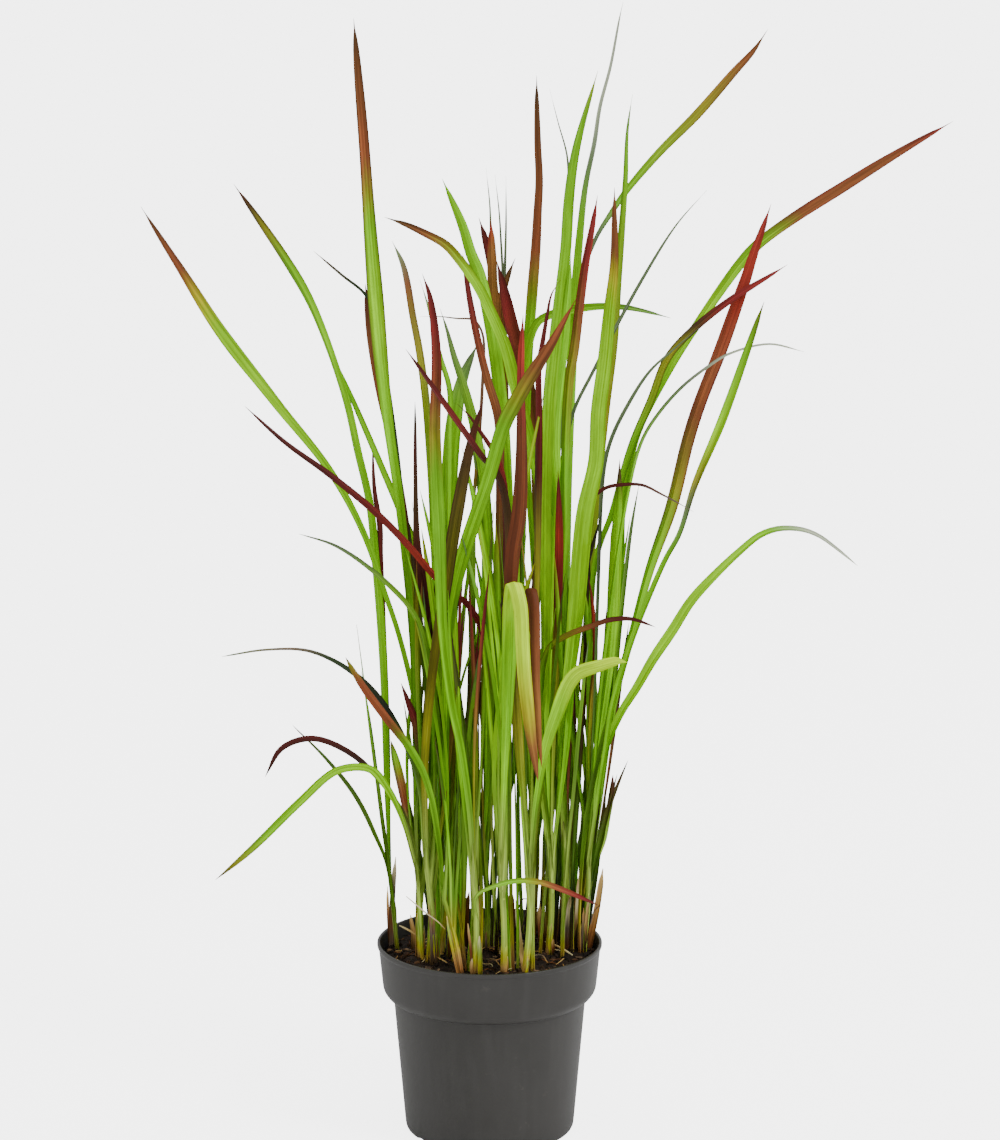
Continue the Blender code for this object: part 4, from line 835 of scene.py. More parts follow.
def add_stalks():
    """Stalks of overlapping sheaths, each ending in a rim just above the next one's start."""
    around = 22
    angle = np.linspace(0, 1, around, endpoint=False)
    angle[-1] = 0.985
    lap = 0.24 * angle
    for number, (shoot, (_, top, _, _, tint)) in enumerate(SHOOTS.items()):
        rng = random.Random("stalk " + shoot)
        z = np.concatenate([np.linspace(SOIL_Z - 5, top[2] - 2, 44),
                            top[2] + np.array([0.0, 3.0, 7.0, 11.0, 14.0])])
        span = top[2] - SOIL_Z
        rims = [SOIL_Z + span * f for f in (rng.uniform(0.22, 0.36), rng.uniform(0.55, 0.72))]
        radius = SLIM * stalk_radius(shoot, z) - 0.10
        for rim in rims:
            radius = radius + 0.22 * (1 - ease(z, rim - 0.6, rim + 0.9))
        radius = radius * (1 - 0.86 * ease(z, top[2] - 6, top[2] + 14))
        seam = rng.uniform(0, math.tau)
        tau = angle * math.tau + seam
        rib = 1 + 0.012 * np.sin(tau * 9 + 0.06 * z[:, None])
        skin = (radius[:, None] + lap * np.minimum(1.0, radius / 1.5)[:, None]) * rib
        rings = stalk_axis(shoot, z)[:, None] + np.stack(
            [skin * np.cos(tau), 0.9 * skin * np.sin(tau), 0 * skin], -1)
        key = 90.0 + 1.7 * number
        drift = np.array([[wobble(key, v * 0.09, a * 2.0) for a in angle] for v in z])
        t = np.clip((z - SOIL_Z) / span, 0, 1)
        colours = colour_at(STALK_LOOKS[tint], t[:, None] + 0.05 * drift)
        for rim in rims:
            band = np.exp(-((z - rim + 1.4) / 1.6) ** 2)[:, None, None]
            colours = colours * (1 + 0.28 * band)
        colours = np.clip(colours * (1 + 0.22 * drift[..., None]), 0.004, 0.9)
        shape = Shape()
        shape.rings(rings, colours, strip_places(z, angle * math.tau * 2.5, key),
                    [tuple(range(around))])
        shape.make("stalk_" + shoot[-2:], STALK_SLOT[tint], shoot, crease=60.0)


def add_stubs():
    """Dry sheaths and cut stubs standing round the stalks."""
    shape = Shape()
    rng = random.Random("stubs")
    stubs = list(STUBS)
    for root, top, d0, _, _ in SHOOTS.values():
        for _ in range(2):
            a = rng.uniform(0, math.tau)
            away = np.array((math.cos(a), math.sin(a)))
            foot = root + (0.5 * SLIM * d0 + 0.5) * away
            out = rng.uniform(0.2, 1.8)
            rise = rng.uniform(9, 38)
            tip = foot + out * away + 0.4 * (np.array(top[:2]) - root)
            look = rng.choice(["0 umber .4 tan .8 straw 1 bone", "0 umber .5 ash 1 tan",
                               "0 umber .3 gold .7 sheath 1 straw", "0 umber .5 brown 1 straw"])
            stubs.append(((*foot, SOIL_Z - 1), (*tip, SOIL_Z + rise),
                          rng.uniform(1.2, 2.4), rng.uniform(0.4, 0.8), look))
    count = 16
    s = np.linspace(0, 1, count)
    for number, (foot, tip, width, wrap, look) in enumerate(stubs):
        key = 130.0 + 2.9 * number
        foot, tip = np.array(foot, float), np.array(tip, float)
        middle = (foot + tip) / 2 + (0.8 * math.sin(key), 0.8 * math.cos(key), 0)
        curve = resample(spline([foot, middle, tip]), count)
        wide, face = frames(curve, math.degrees(key) % 70 - 35, 25)
        half = 0.5 * width * (1.15 - 0.45 * s) * (1 - ease(s, 0.80, 1.0) * 0.85) * (1 + 0.5 * wrap)
        lay_blade(shape, curve, wide, face, half, np.full(count, wrap / (0.32 * width)),
                  np.zeros(count), np.full(count, 0.32), look, key)
    shape.make("dry_sheaths", "stalk_dry")


# ------------------------------------------------------------------ blades
def half_width(full, s, reach, key):
    """Half the width along a blade; full is the greatest width, or marks "place width ..."."""
    if isinstance(full, str):
        marks = np.array(full.split(), float)
        half = smoothed(0.5 * np.interp(s, marks[0::2], marks[1::2]) + 0.2,
                        (0.1, 0.2, 0.4, 0.2, 0.1))
    else:
        widest = 0.68
        rise = 0.32 + 0.68 * ease(s, 0, widest)
        half = 0.5 * full * rise * (1 - (np.clip(s - widest, 0, 1) / (1 - widest)) ** 3.2)
    half = np.maximum(half, 0.5 * (1 - s) ** 0.5 + TIP)
    half = half * (1 + 0.05 * np.sin(reach * 0.05 + key) * ease(s, 0.1, 0.3))
    half = np.where(s > 0.97, half * (1 - ease(s, 0.97, 1.0) * 0.9), half)
    half[-1] = TIP
    return half


def rooted_blade(shape, shoot, route, full, facing, twist, look, key, order,
                 edge=None, back=False, thick=THICK, flat_on=None):
    """A blade whose foot closes round its stalk as a sheath and runs down it a little way.

    order counts a stalk's blades from the inside out, back turns the fold to the other side, and
    flat_on is the direction that the width of a folded blade keeps.
    """
    length = reach_along(route)[-1]
    curve = resample(route, int(np.clip(length / RING_STEP, 26, 84)), bend_weight=26.0)
    wide, face = frames(curve, facing, twist)
    if back:
        wide, face = -wide, -face
    reach = reach_along(curve)
    s = reach / reach[-1]
    sway = np.array([wobble(key, d * 0.022, 5.0) for d in reach])
    curve = curve + (0.5 * ease(s, 0.1, 0.3) * sway)[:, None] * face
    if flat_on:
        tangent = unit(np.gradient(curve, axis=0))
        wide = unit(flat_on - tangent * (flat_on * tangent).sum(1)[:, None])
        face = unit(np.cross(wide, tangent))
    foot_z = route[0][2]
    radius = SLIM * float(stalk_radius(shoot, foot_z)) + 0.10 + 0.07 * order
    roll = 1 - ease(reach, 2.0, min(72.0, 0.4 * length))
    half = half_width(full, s, reach, key)
    arc = half + (1.8 * radius - half) * roll ** 4
    curl = roll / radius + (1 - roll) * 0.10 / np.maximum(half, 0.8)
    curve = curve - face * (radius * roll ** 1.5)[:, None]

    # the sheath: rings on the stalk below the blade's own foot
    down, steps = 16.0 + 15.0 * order, 9
    z = np.linspace(foot_z - down, foot_z - 1.2, steps)
    axis = stalk_axis(shoot, z)
    axis[:, :2] += (ease(z, foot_z - 12, foot_z)[:, None]
                    * (np.asarray(route[0])[:2] - stalk_axis(shoot, foot_z)[:2]))
    grow = radius + 0.1 - 0.02 * (foot_z - z) / down
    close = ease(np.linspace(0, 1, steps), 0.0, 0.35)
    curve = np.vstack([axis - face[0] * grow[:, None], curve])
    wide = np.vstack([np.repeat(wide[:1], steps, 0), wide])
    face = np.vstack([np.repeat(face[:1], steps, 0), face])
    arc = np.concatenate([2.2 * radius * (0.35 + 0.65 * close), arc])
    curl = np.concatenate([1 / grow, curl])
    fold = np.concatenate([np.zeros(steps), fold_along(s, key)])
    skin = thick * np.concatenate([0.3 + 0.7 * close, 1 - 0.55 * s])
    tall = SHOOTS[shoot][1][2] - SOIL_Z
    foot = colour_at(STALK_LOOKS[SHOOTS[shoot][4]], (curve[:, 2] - SOIL_Z) / tall)
    lay_blade(shape, curve, wide, face, arc, curl, fold, skin, look, key, edge, down, foot)


def add_large_blades(routes):
    """One piece for each blade of the CAD, the stalk's blades turned alternately."""
    order = {}
    for name, route in routes.items():
        shoot, full, facing, twist, tint = BLADES[name][:5]
        look, widths, *edge = LOOKS[name]
        rank = order[shoot] = order.get(shoot, -1) + 1
        shape = Shape()
        rooted_blade(shape, shoot, route, widths or full, facing, twist, look, KEYS[name], rank,
                     edge=edge, back=rank % 2 == 1 and name not in FOLDED,
                     flat_on=FOLDED.get(name))
        shape.make("blade_" + name[5:], "blade_" + tint, name)


def from_middle(top):
    """How near a stalk stands to the middle of the clump: 1 there, 0 at the sides."""
    return 1 - min(1.0, abs(top[0] - CLUMP_X) / 70.0)


def leaning(foot, lean, bow, climb, powers, count):
    """Points of a nearly upright route; climb gives the height over the foot at a share."""
    points = []
    for t in np.linspace(0, 1, count):
        sway = math.sin(math.pi * t)
        points.append((foot[0] + lean[0] * t ** powers[0] + bow[0] * sway,
                       foot[1] + lean[1] * t ** powers[1] + bow[1] * sway,
                       foot[2] + climb(t)))
    return spline(points)


def young_route(rng, shoot):
    """A seeded, nearly upright route from a stalk, longer towards the middle of the clump."""
    top = SHOOTS[shoot][1]
    foot = stalk_axis(shoot, top[2] - rng.uniform(0, 26))
    length = rng.uniform(120, 190) + from_middle(top) * rng.uniform(30, 130)
    lean_x = rng.uniform(-26, 26) - 0.10 * (top[0] - CLUMP_X)
    lean_y = rng.uniform(0 if top[1] < FRONT_Y else -10, 26) + 0.12 * top[1]
    bow = rng.uniform(-7, 7), rng.uniform(0, 7)
    return leaning(foot, (lean_x, lean_y), bow, lambda t: length * (t - 0.05 * t * t),
                   (1.7, 1.5), 7)


def side_shoot(shape, rng, shoot, key, shaded=False):
    """A thin side shoot from the soil: a rolled stem that opens into one upright blade."""
    root, top, d0, _, _ = SHOOTS[shoot]
    front = top[1] < FRONT_Y
    a = rng.uniform(0.15, 0.85) * math.pi if front else rng.uniform(0, math.tau)
    away = 0.5 * d0 + rng.uniform(1.0, 4.0 if front else 7.0)
    x, y = root[0] + away * math.cos(a), root[1] + away * math.sin(a)
    hold = min(1.0, 55.0 / math.hypot(x, y))
    x, y = x * hold, y * hold
    length = rng.uniform(95, 230) + from_middle(top) * rng.uniform(20, 130)
    length *= 0.62 if shaded else 1
    lean_x = rng.uniform(-20, 20) + 0.15 * (top[0] - CLUMP_X)
    lean_y = rng.uniform(2, 24) + 0.20 * max(0.0, top[1])
    bow = rng.uniform(-4, 4), rng.uniform(-1, 4)
    route = leaning((x, y, SOIL_Z - 4), (lean_x, lean_y), bow, lambda t: length * t,
                    (1.6, 1.5), 8)
    curve = resample(route, int(np.clip(length / RING_STEP, 26, 60)))
    wide, face = frames(curve, rng.uniform(-70, 70), rng.uniform(-40, 40))
    reach = np.linspace(0, length, len(curve))
    s = reach / length
    full, stem = rng.uniform(1.8, 4.4), rng.uniform(0.6, 1.15)
    open_at = rng.uniform(0.30, 0.55)
    roll = 1 - ease(s, open_at - 0.25, open_at + 0.15)
    widest = 0.62
    half = 0.5 * full * (0.45 + 0.55 * ease(s, 0.2, widest))
    half = half * (1 - np.clip((s - widest) / (1 - widest), 0, 1) ** 2.5) + TIP
    arc = half + (2.4 * stem - half) * roll ** 1.5
    curl = roll / stem + (1 - roll) * 0.15
    curve = curve - face * (stem * roll)[:, None]
    # Shoots behind the clump take the darker looks and stalk colours: partly painted shade.
    look = rng.choice(BACK_LOOKS if y > 0 else FRONT_LOOKS)
    kind = rng.choice(["dark_green", "olive", "dark_green", "green"] if y > 0
                      else ["stalk", "stalk", "green", "olive"])
    # A shaded shoot is painted near black along its length: painted shade.
    if shaded:
        look, kind = SHADED_LOOK, "shaded"
    foot = colour_at(STALK_LOOKS[kind], reach / 60.0)
    lay_blade(shape, curve, wide, face, arc, curl, fold_along(s, key, 0.5) * (1 - roll),
              THICK * (1 - 0.5 * s), look, key, None, 0.35 * length, foot)


def add_listed_blades(shape, shoot):
    """The blades of one stalk that MORE lists."""
    top = SHOOTS[shoot][1]
    here = [m[1:] for m in MORE if m[0] == shoot]
    for k, (full, facing, twist, look, points) in enumerate(here):
        foot = stalk_axis(shoot, min(top[2], points[0][2] - 20)) + (0, 0.8 * (k + 1), 0)
        rises = points[-1][2] > points[-2][2]
        shaped = isinstance(full, str)
        rooted_blade(shape, shoot, spline([tuple(foot)] + points),
                     full if shaped else 1.12 * full, facing, twist, look,
                     20.3 + 2.1 * k + top[0] * 0.07, 0.5 + 0.3 * k, back=k % 2 == 0 and rises,
                     thick=0.28, flat_on=None if rises or not shaped else (1, 0, 0))


def add_small_blades():
    """The finer blades of each stalk: listed ones, young ones and side shoots.

    Their keys only have to differ, so they grow with the blade's number and the stalk's place.
    """
    for shoot, (_, top, _, _, _) in SHOOTS.items():
        rng = random.Random("young " + shoot)
        shape = Shape()
        add_listed_blades(shape, shoot)
        edge, behind = shoot == "shoot_01", top[1] > 0
        for k in range(1 if edge else 5):
            route = young_route(rng, shoot)
            full, facing, twist = rng.uniform(2.0, 4.6), rng.uniform(-55, 55), rng.uniform(-60, 60)
            # Blades behind the clump take the darker looks: partly painted shade.
            look = rng.choice(BACK_LOOKS if behind else FRONT_LOOKS)
            rooted_blade(shape, shoot, route, full, facing, twist, look,
                         60.7 + 3.3 * k + top[0] * 0.11, 0.4 + 0.35 * k, back=rng.random() < 0.5)
        for k in range(1 if edge else 3):
            side_shoot(shape, rng, shoot, 160.3 + 4.1 * k + top[0] * 0.13)
        # Short dark shoots behind the clump stand for its shade: painted shade.
        for k in range(3 if behind and not edge else 0):
            side_shoot(shape, rng, shoot, 190.3 + 4.1 * k + top[0] * 0.13, shaded=True)
        shape.make("young_blades_" + shoot[-2:], "blade_green")


# ------------------------------------------------------------------ materials
class Graph:
    """Nodes of a material or world; a socket takes a number, a colour or another socket."""

    def __init__(self, owner):
        owner.use_nodes = True
        self.tree = owner.node_tree

    def plug(self, value, socket):
        if isinstance(value, bpy.types.NodeSocket):
            self.tree.links.new(value, socket)
        else:
            socket.default_value = (*value, 1.0) if socket.type == "RGBA" else value

    def fill(self, made, *values):
        for socket, value in zip(made.inputs, values):
            self.plug(value, socket)
        return made

    def node(self, kind, *values, **settings):
        """A node with its settings, and with values in its first sockets."""
        made = self.tree.nodes.new("ShaderNode" + kind)
        for name, value in settings.items():
            setattr(made, name, value)
        return self.fill(made, *values)

    def maths(self, operation, *values):
        return self.node("Math", *values, operation=operation).outputs[0]

    def mul(self, a, b):
        return self.maths("MULTIPLY", a, b)

    def add(self, a, b):
        return self.maths("ADD", a, b)

    def remap(self, value, low, high, to_low, to_high):
        return self.node("MapRange", value, low, high, to_low, to_high,
                         interpolation_type="SMOOTHSTEP").outputs[0]

    def blend(self, factor, a, b, mode="MIX"):
        made = self.node("Mix", factor, data_type="RGBA", blend_type=mode, clamp_factor=True)
        self.plug(a, made.inputs[6])
        self.plug(b, made.inputs[7])
        return made.outputs[2]

    def times(self, a, b):
        return self.blend(1.0, a, b, "MULTIPLY")

    def join(self, x, y, z):
        return self.node("CombineXYZ", x, y, z).outputs[0]

    def speckle(self, vector, scale, detail=2.0, roughness=0.5):
        made = self.node("TexNoise", vector)
        for name, value in (("Scale", scale), ("Detail", detail), ("Roughness", roughness)):
            made.inputs[name].default_value = value
        return made.outputs["Fac"]

    def layer(self, name, output):
        return self.node("Attribute", attribute_name=name).outputs[output]

    def place(self):
        return self.node("TexCoord").outputs["Object"]

    def camera_sees(self, seen, otherwise):
        """One shader where the camera looks straight at it and another for all other light."""
        direct = self.node("LightPath").outputs["Is Camera Ray"]
        return self.node("MixShader", direct, otherwise.outputs[0], seen.outputs[0]).outputs[0]


class Surface(Graph):
    """A material with one Principled shader."""

    def __init__(self, name, roughness, specular):
        self.mat = bpy.data.materials.new(name)
        super().__init__(self.mat)
        self.shader = self.tree.nodes["Principled BSDF"]
        self.set("Roughness", roughness)
        self.set("Specular IOR Level", specular)

    def set(self, name, value):
        self.plug(value, self.shader.inputs[name])

    def bump(self, height, distance, strength):
        made = self.node("Bump")
        made.inputs["Strength"].default_value = strength
        made.inputs["Distance"].default_value = distance
        self.plug(height, made.inputs["Height"])
        self.set("Normal", made.outputs[0])


def leaf_material(name, roughness, specular, worn=0.35):
    """Leaf tissue: fine parallel veins, a paler midrib, soft mottling and small brown flecks."""
    g = Surface(name, roughness, specular)
    split = g.node("SeparateXYZ", g.layer("strip", "Vector"))
    along, across, key = split.outputs

    def drawn_out(per_along, per_across, detail, rough):
        """Noise stretched along the strip and different on each strip."""
        place = g.join(g.mul(along, per_along), g.mul(across, per_across), key)
        return g.speckle(place, 1.0, detail, rough)

    veins = drawn_out(0.010, 2.3, 2.0, 0.6)
    stripe = drawn_out(0.006, 0.9, 1.0, 0.5)
    mottle = drawn_out(0.055, 0.45, 3.0, 0.55)
    fleck = drawn_out(0.55, 1.3, 1.0, 0.4)
    rib = g.remap(g.maths("ABSOLUTE", across), 0.12, 0.42, 1.22, 1.0)
    shade = g.mul(g.remap(veins, 0.30, 0.70, 0.83, 1.13), g.remap(mottle, 0.30, 0.72, 0.86, 1.12))
    shade = g.mul(g.mul(shade, rib), g.remap(stripe, 0.36, 0.62, 0.80, 1.12))
    base = g.times(g.layer("tint", "Color"), g.join(shade, shade, shade))
    warm = g.times(base, (1.16, 1.0, 0.80))
    base = g.blend(g.remap(mottle, 0.50, 0.80, 0.0, 0.60), base, warm)
    base = g.blend(g.remap(fleck, 0.74, 0.82, 0.0, worn), base, (0.13, 0.045, 0.015))
    g.set("Base Color", base)
    g.set("Roughness", g.remap(mottle, 0.3, 0.7, roughness - 0.07, roughness + 0.09))
    g.bump(veins, 0.00022, 0.8)
    return g.mat


def compost_material():
    """Damp peat and bark: near black with brown crumbs, rough at every scale."""
    g = Surface("compost", 0.93, 0.25)
    tint, place = g.layer("tint", "Color"), g.place()
    coarse = g.speckle(place, 260.0, 4.0, 0.65)
    fine = g.speckle(place, 1300.0, 3.0, 0.6)
    grain = g.node("TexVoronoi", place)
    grain.inputs["Scale"].default_value = 520.0
    base = g.blend(g.remap(coarse, 0.35, 0.72, 0.0, 1.0),
                   g.times(tint, (0.45, 0.42, 0.42)), g.times(tint, (1.7, 1.45, 1.2)))
    base = g.blend(g.remap(fine, 0.60, 0.80, 0.0, 0.5), base, (0.11, 0.065, 0.040))
    g.set("Base Color", base)
    g.set("Roughness", g.remap(fine, 0.3, 0.7, 0.80, 0.98))
    height = g.add(coarse, g.add(g.mul(fine, 0.4), g.mul(grain.outputs["Distance"], -0.5)))
    g.bump(height, 0.0012, 0.9)
    return g.mat


def pot_material():
    """Thin moulded plastic: satin, faintly grained, a little dusty and scuffed."""
    g = Surface("pot_plastic", 0.46, 0.42)
    place = g.place()
    upright = g.node("Mapping", place)
    upright.inputs["Scale"].default_value = (1.0, 1.0, 0.12)
    broad = g.speckle(place, 16.0, 3.0, 0.55)
    flow = g.speckle(upright.outputs[0], 120.0, 2.0, 0.5)
    grain = g.speckle(place, 2600.0, 2.0, 0.5)
    scuff = g.speckle(place, 210.0, 4.0, 0.7)
    base = g.blend(g.remap(broad, 0.32, 0.70, 0.0, 1.0),
                   (0.028, 0.0265, 0.0235), (0.038, 0.036, 0.033))
    base = g.blend(g.remap(flow, 0.45, 0.75, 0.0, 0.35), base, (0.048, 0.046, 0.043))
    dust = g.mul(g.remap(scuff, 0.58, 0.76, 0.0, 0.45), g.remap(broad, 0.45, 0.62, 0.2, 1.0))
    g.set("Base Color", g.blend(dust, base, (0.095, 0.087, 0.075)))
    g.set("Roughness", g.add(g.remap(broad, 0.3, 0.7, 0.40, 0.50), g.mul(dust, 0.35)))
    g.bump(g.add(grain, g.mul(flow, 1.6)), 0.00006, 0.6)
    return g.mat


# Roughness and specular level of each leaf slot; the dry one's flecks are also stronger.
LEAF_SLOTS = {
    "blade_lime": (0.52, 0.10), "blade_green": (0.54, 0.10), "blade_dark_green": (0.54, 0.10),
    "blade_olive": (0.54, 0.10), "blade_brown": (0.56, 0.08), "blade_crimson": (0.50, 0.12),
    "blade_maroon": (0.52, 0.10), "stalk_green": (0.50, 0.14), "stalk_dark": (0.54, 0.12),
    "stalk_dry": (0.66, 0.10, 0.70),
}
MATS = {slot: leaf_material(slot, *numbers) for slot, numbers in LEAF_SLOTS.items()}
MATS["potting_soil"] = compost_material()
MATS["pot_plastic"] = pot_material()
STALK_SLOT = {"stalk": "stalk_green", "dry": "stalk_dry", "dark_green": "stalk_dark",
              "green": "stalk_dark", "olive": "stalk_dark"}


# ------------------------------------------------------------------ pot
def rounded(points, steps=5):
    """Profile of (radius, height) from (radius, height, rounding) corners."""
    out = []
    for k, (*place, size) in enumerate(points):
        if not size:
            out.append(tuple(place))
            continue
        p, a, b = (np.array(points[i][:2], float) for i in (k, k - 1, k + 1))
        la, lb = np.linalg.norm(a - p), np.linalg.norm(b - p)
        cut = min(size, 0.45 * la, 0.45 * lb)
        start, end = p + (a - p) / la * cut, p + (b - p) / lb * cut
        for t in np.linspace(0, 1, steps):
            out.append(tuple((1 - t) ** 2 * start + 2 * t * (1 - t) * p + t * t * end))
    return out


def pot_profile():
    """From the middle of the underside up the outside, over the rim and down the inside."""
    collar_r = RIM_R - 3.2
    inner_floor = WALL + 0.1
    return rounded([
        (0, 0, 0), (BOSS_R, 0, 0.5), (BOSS_R + 1.4, FLOOR_RAISE, 0.6),
        (FOOT_IN_R - 1.4, FLOOR_RAISE, 0.6), (FOOT_IN_R, 0, 0.5), (BODY_FOOT_R - 3.6, 0, 2.0),
        (BODY_FOOT_R - 0.5, 1.6, 2.2), (BODY_FOOT_R, 5.5, 1.6), (BODY_TOP_R, COLLAR_Z, 0.7),
        (BODY_TOP_R + 3.2, COLLAR_Z + 1.1, 2.6), (collar_r - 0.2, COLLAR_Z + 4.6, 2.8),
        (collar_r + 0.4, COLLAR_Z + 10.0, 2.6), (RIM_R - 0.9, POT_H - 3.0, 0.6),
        (RIM_R, POT_H - 2.0, 0.5), (RIM_R, POT_H, 0.55),
        (RIM_R - 1.7, POT_H, 0.5), (RIM_R - 0.9 - WALL, POT_H - 2.0, 0.9),
        (collar_r - WALL, COLLAR_Z + 7.4, 2.0), (collar_r - 2.2, COLLAR_Z + 4.4, 1.2),
        (BODY_TOP_R + 0.8, COLLAR_Z + 2.2, 1.2), (BODY_TOP_R - WALL, COLLAR_Z, 1.0),
        (BODY_FOOT_R - WALL, 5.5, 1.0), (BODY_FOOT_R - 1.9, 2.6, 1.0),
        (BODY_FOOT_R - 3.9, inner_floor, 0.8), (FOOT_IN_R + 0.8, inner_floor, 0),
        (FOOT_IN_R - 0.8, FLOOR_RAISE + WALL, 0), (BOSS_R + 0.8, FLOOR_RAISE + WALL, 0),
        (BOSS_R - 0.8, inner_floor, 0), (0, inner_floor, 0)])


def turned(profile, turns):
    """The solid that a profile sweeps round the pot's axis."""
    bm = bmesh.new()
    verts = [bm.verts.new((r * MM, 0, z * MM)) for r, z in profile]
    edges = [bm.edges.new(pair) for pair in zip(verts, verts[1:])]
    bmesh.ops.spin(bm, geom=verts + edges, cent=(0, 0, 0), axis=(0, 0, 1),
                   angle=math.tau, steps=turns, use_merge=True)
    bmesh.ops.remove_doubles(bm, verts=bm.verts, dist=1e-6)
    bmesh.ops.recalc_face_normals(bm, faces=bm.faces)
    return bm


def drainage():
    """What is cut from the pot: heel notches round the foot and drain holes in the floor."""
    bm = bmesh.new()
    deep, broad, tall = NOTCH_SIZE
    for k in range(NOTCH_COUNT):
        angle = math.radians(NOTCH_PHASE + 360.0 / NOTCH_COUNT * k)
        for v in bmesh.ops.create_cube(bm, size=1.0)["verts"]:
            x = v.co.x * deep + BODY_FOOT_R + 0.6
            y = v.co.y * broad * (0.84 if v.co.z > 0 else 1.0)
            v.co = Vector((x * math.cos(angle) - y * math.sin(angle),
                           x * math.sin(angle) + y * math.cos(angle),
                           v.co.z * tall + tall / 2 - 1.5)) * MM
        hole = bmesh.ops.create_cone(bm, cap_ends=True, segments=28, radius1=DRAIN_R * MM,
                                     radius2=DRAIN_R * MM, depth=8 * MM)["verts"]
        between = angle + math.radians(180.0 / NOTCH_COUNT)
        bmesh.ops.translate(bm, verts=hole, vec=Vector((
            DRAIN_RING_R * math.cos(between), DRAIN_RING_R * math.sin(between), 2)) * MM)
    return bm


def add_pot():
    """The turned pot with its drainage cut out, as one piece."""
    blank = new_object("pot_blank", mesh_of("pot_blank", turned(pot_profile(), 144)))
    cutter = new_object("pot_cutter", mesh_of("pot_cutter", drainage()))
    cut = blank.modifiers.new("drainage", "BOOLEAN")
    cut.operation = "DIFFERENCE"
    cut.solver = "EXACT"
    cut.object = cutter
    graph = bpy.context.evaluated_depsgraph_get()
    mesh = bpy.data.meshes.new_from_object(blank.evaluated_get(graph))
    for obj in (blank, cutter):
        bpy.data.objects.remove(obj, do_unlink=True)
    mesh.shade_smooth()
    mesh.set_sharp_from_angle(angle=math.radians(32))
    mesh.materials.clear()
    mesh.materials.append(MATS["pot_plastic"])
    pot = new_object("nursery_pot", mesh)
    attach(pot, "root")
    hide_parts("pot")


# ------------------------------------------------------------------ soil
def soil_height(x, y):
    """Height of the compost surface over its level: low swells, clods and grit."""
    swell = 1.1 * wobble(x * 0.035, y * 0.035, 3.0)
    clod = 1.5 * wobble(x * 0.16, y * 0.16, 9.0)
    grit = 0.8 * abs(wobble(x * 0.5, y * 0.5, 17.0))
    fine = 0.35 * wobble(x * 1.3, y * 1.3, 23.0)
    mound = sum(1.5 * math.exp(-((x - root[0]) ** 2 + (y - root[1]) ** 2) / (d0 * 1.1) ** 2)
                for root, _, d0, _, _ in SHOOTS.values())
    edge = 1 - 0.9 * max(0.0, min(1.0, (math.hypot(x, y) - 57.0) / 5.0))
    return (swell + clod + grit + fine) * edge + min(mound, 1.5) - 1.2 - 0.8 * (1 - edge)


def ground(x, y):
    return SOIL_Z + soil_height(x, y)


def add_soil():
    """The root ball inside the pot, with a crumbly surface."""
    def inside(z):
        low, high = BODY_FOOT_R - WALL, BODY_TOP_R - WALL
        return low + (high - low) * (z - 5.5) / (COLLAR_Z - 5.5) - FIT_GAP
    collar = RIM_R - 4.5 - WALL
    slope = (RIM_R - 0.9 - collar - WALL) / (POT_H - 2.0 - COLLAR_Z - 7.4)
    edge = collar + slope * (SOIL_Z - 1.6 - COLLAR_Z - 7.4) - FIT_GAP
    wall = [(inside(5.5) - 2.2, FLOOR_RAISE + WALL + FIT_GAP), (inside(7.0), 7.0),
            (inside(40.0), 40.0), (inside(COLLAR_Z), COLLAR_Z), (BODY_TOP_R + 0.2, COLLAR_Z + 3.2),
            (collar - 1.6, COLLAR_Z + 5.2), (collar - FIT_GAP - 0.1, COLLAR_Z + 8.0),
            (edge, SOIL_Z - 2.6)]
    turns, top_rings = 168, 63
    angles = np.linspace(0, math.tau, turns, endpoint=False)
    round_about = [(math.cos(a), math.sin(a)) for a in angles]
    rings = [[(r * c, r * s, z) for c, s in round_about] for r, z in wall]
    for k in range(top_rings):
        r = edge - 0.3 - (edge - 1.2) * (k / (top_rings - 1))
        rings.append([(r * c, r * s, ground(r * c, r * s)) for c, s in round_about])
    rings = np.array(rings)
    tint = np.tile(np.array([0.022, 0.014, 0.010]), (*rings.shape[:2], 1))
    shape = Shape()
    shape.rings(rings, tint, rings, [tuple(range(turns))])
    shape.make("compost", "potting_soil", "soil", crease=70.0)


def spun(co, i, j, angle):
    """Points turned in the plane of two of their axes."""
    out = co.copy()
    out[:, i] = co[:, i] * math.cos(angle) - co[:, j] * math.sin(angle)
    out[:, j] = co[:, i] * math.sin(angle) + co[:, j] * math.cos(angle)
    return out


SOIL_REACH = 59.0       # loose pieces stay within this radius
# Loose compost: name, count, smallest and largest size, flatness, lumpiness, colours.
CRUMBS = (
    ("compost_clods", 620, 0.6, 2.0, 0.75, 0.35,
     [(0.020, 0.013, 0.009), (0.032, 0.020, 0.013), (0.050, 0.030, 0.018), (0.012, 0.009, 0.008)]),
    ("bark_flakes", 170, 1.2, 3.6, 0.30, 0.22,
     [(0.075, 0.040, 0.022), (0.11, 0.060, 0.032), (0.045, 0.028, 0.018), (0.17, 0.12, 0.075)]),
)


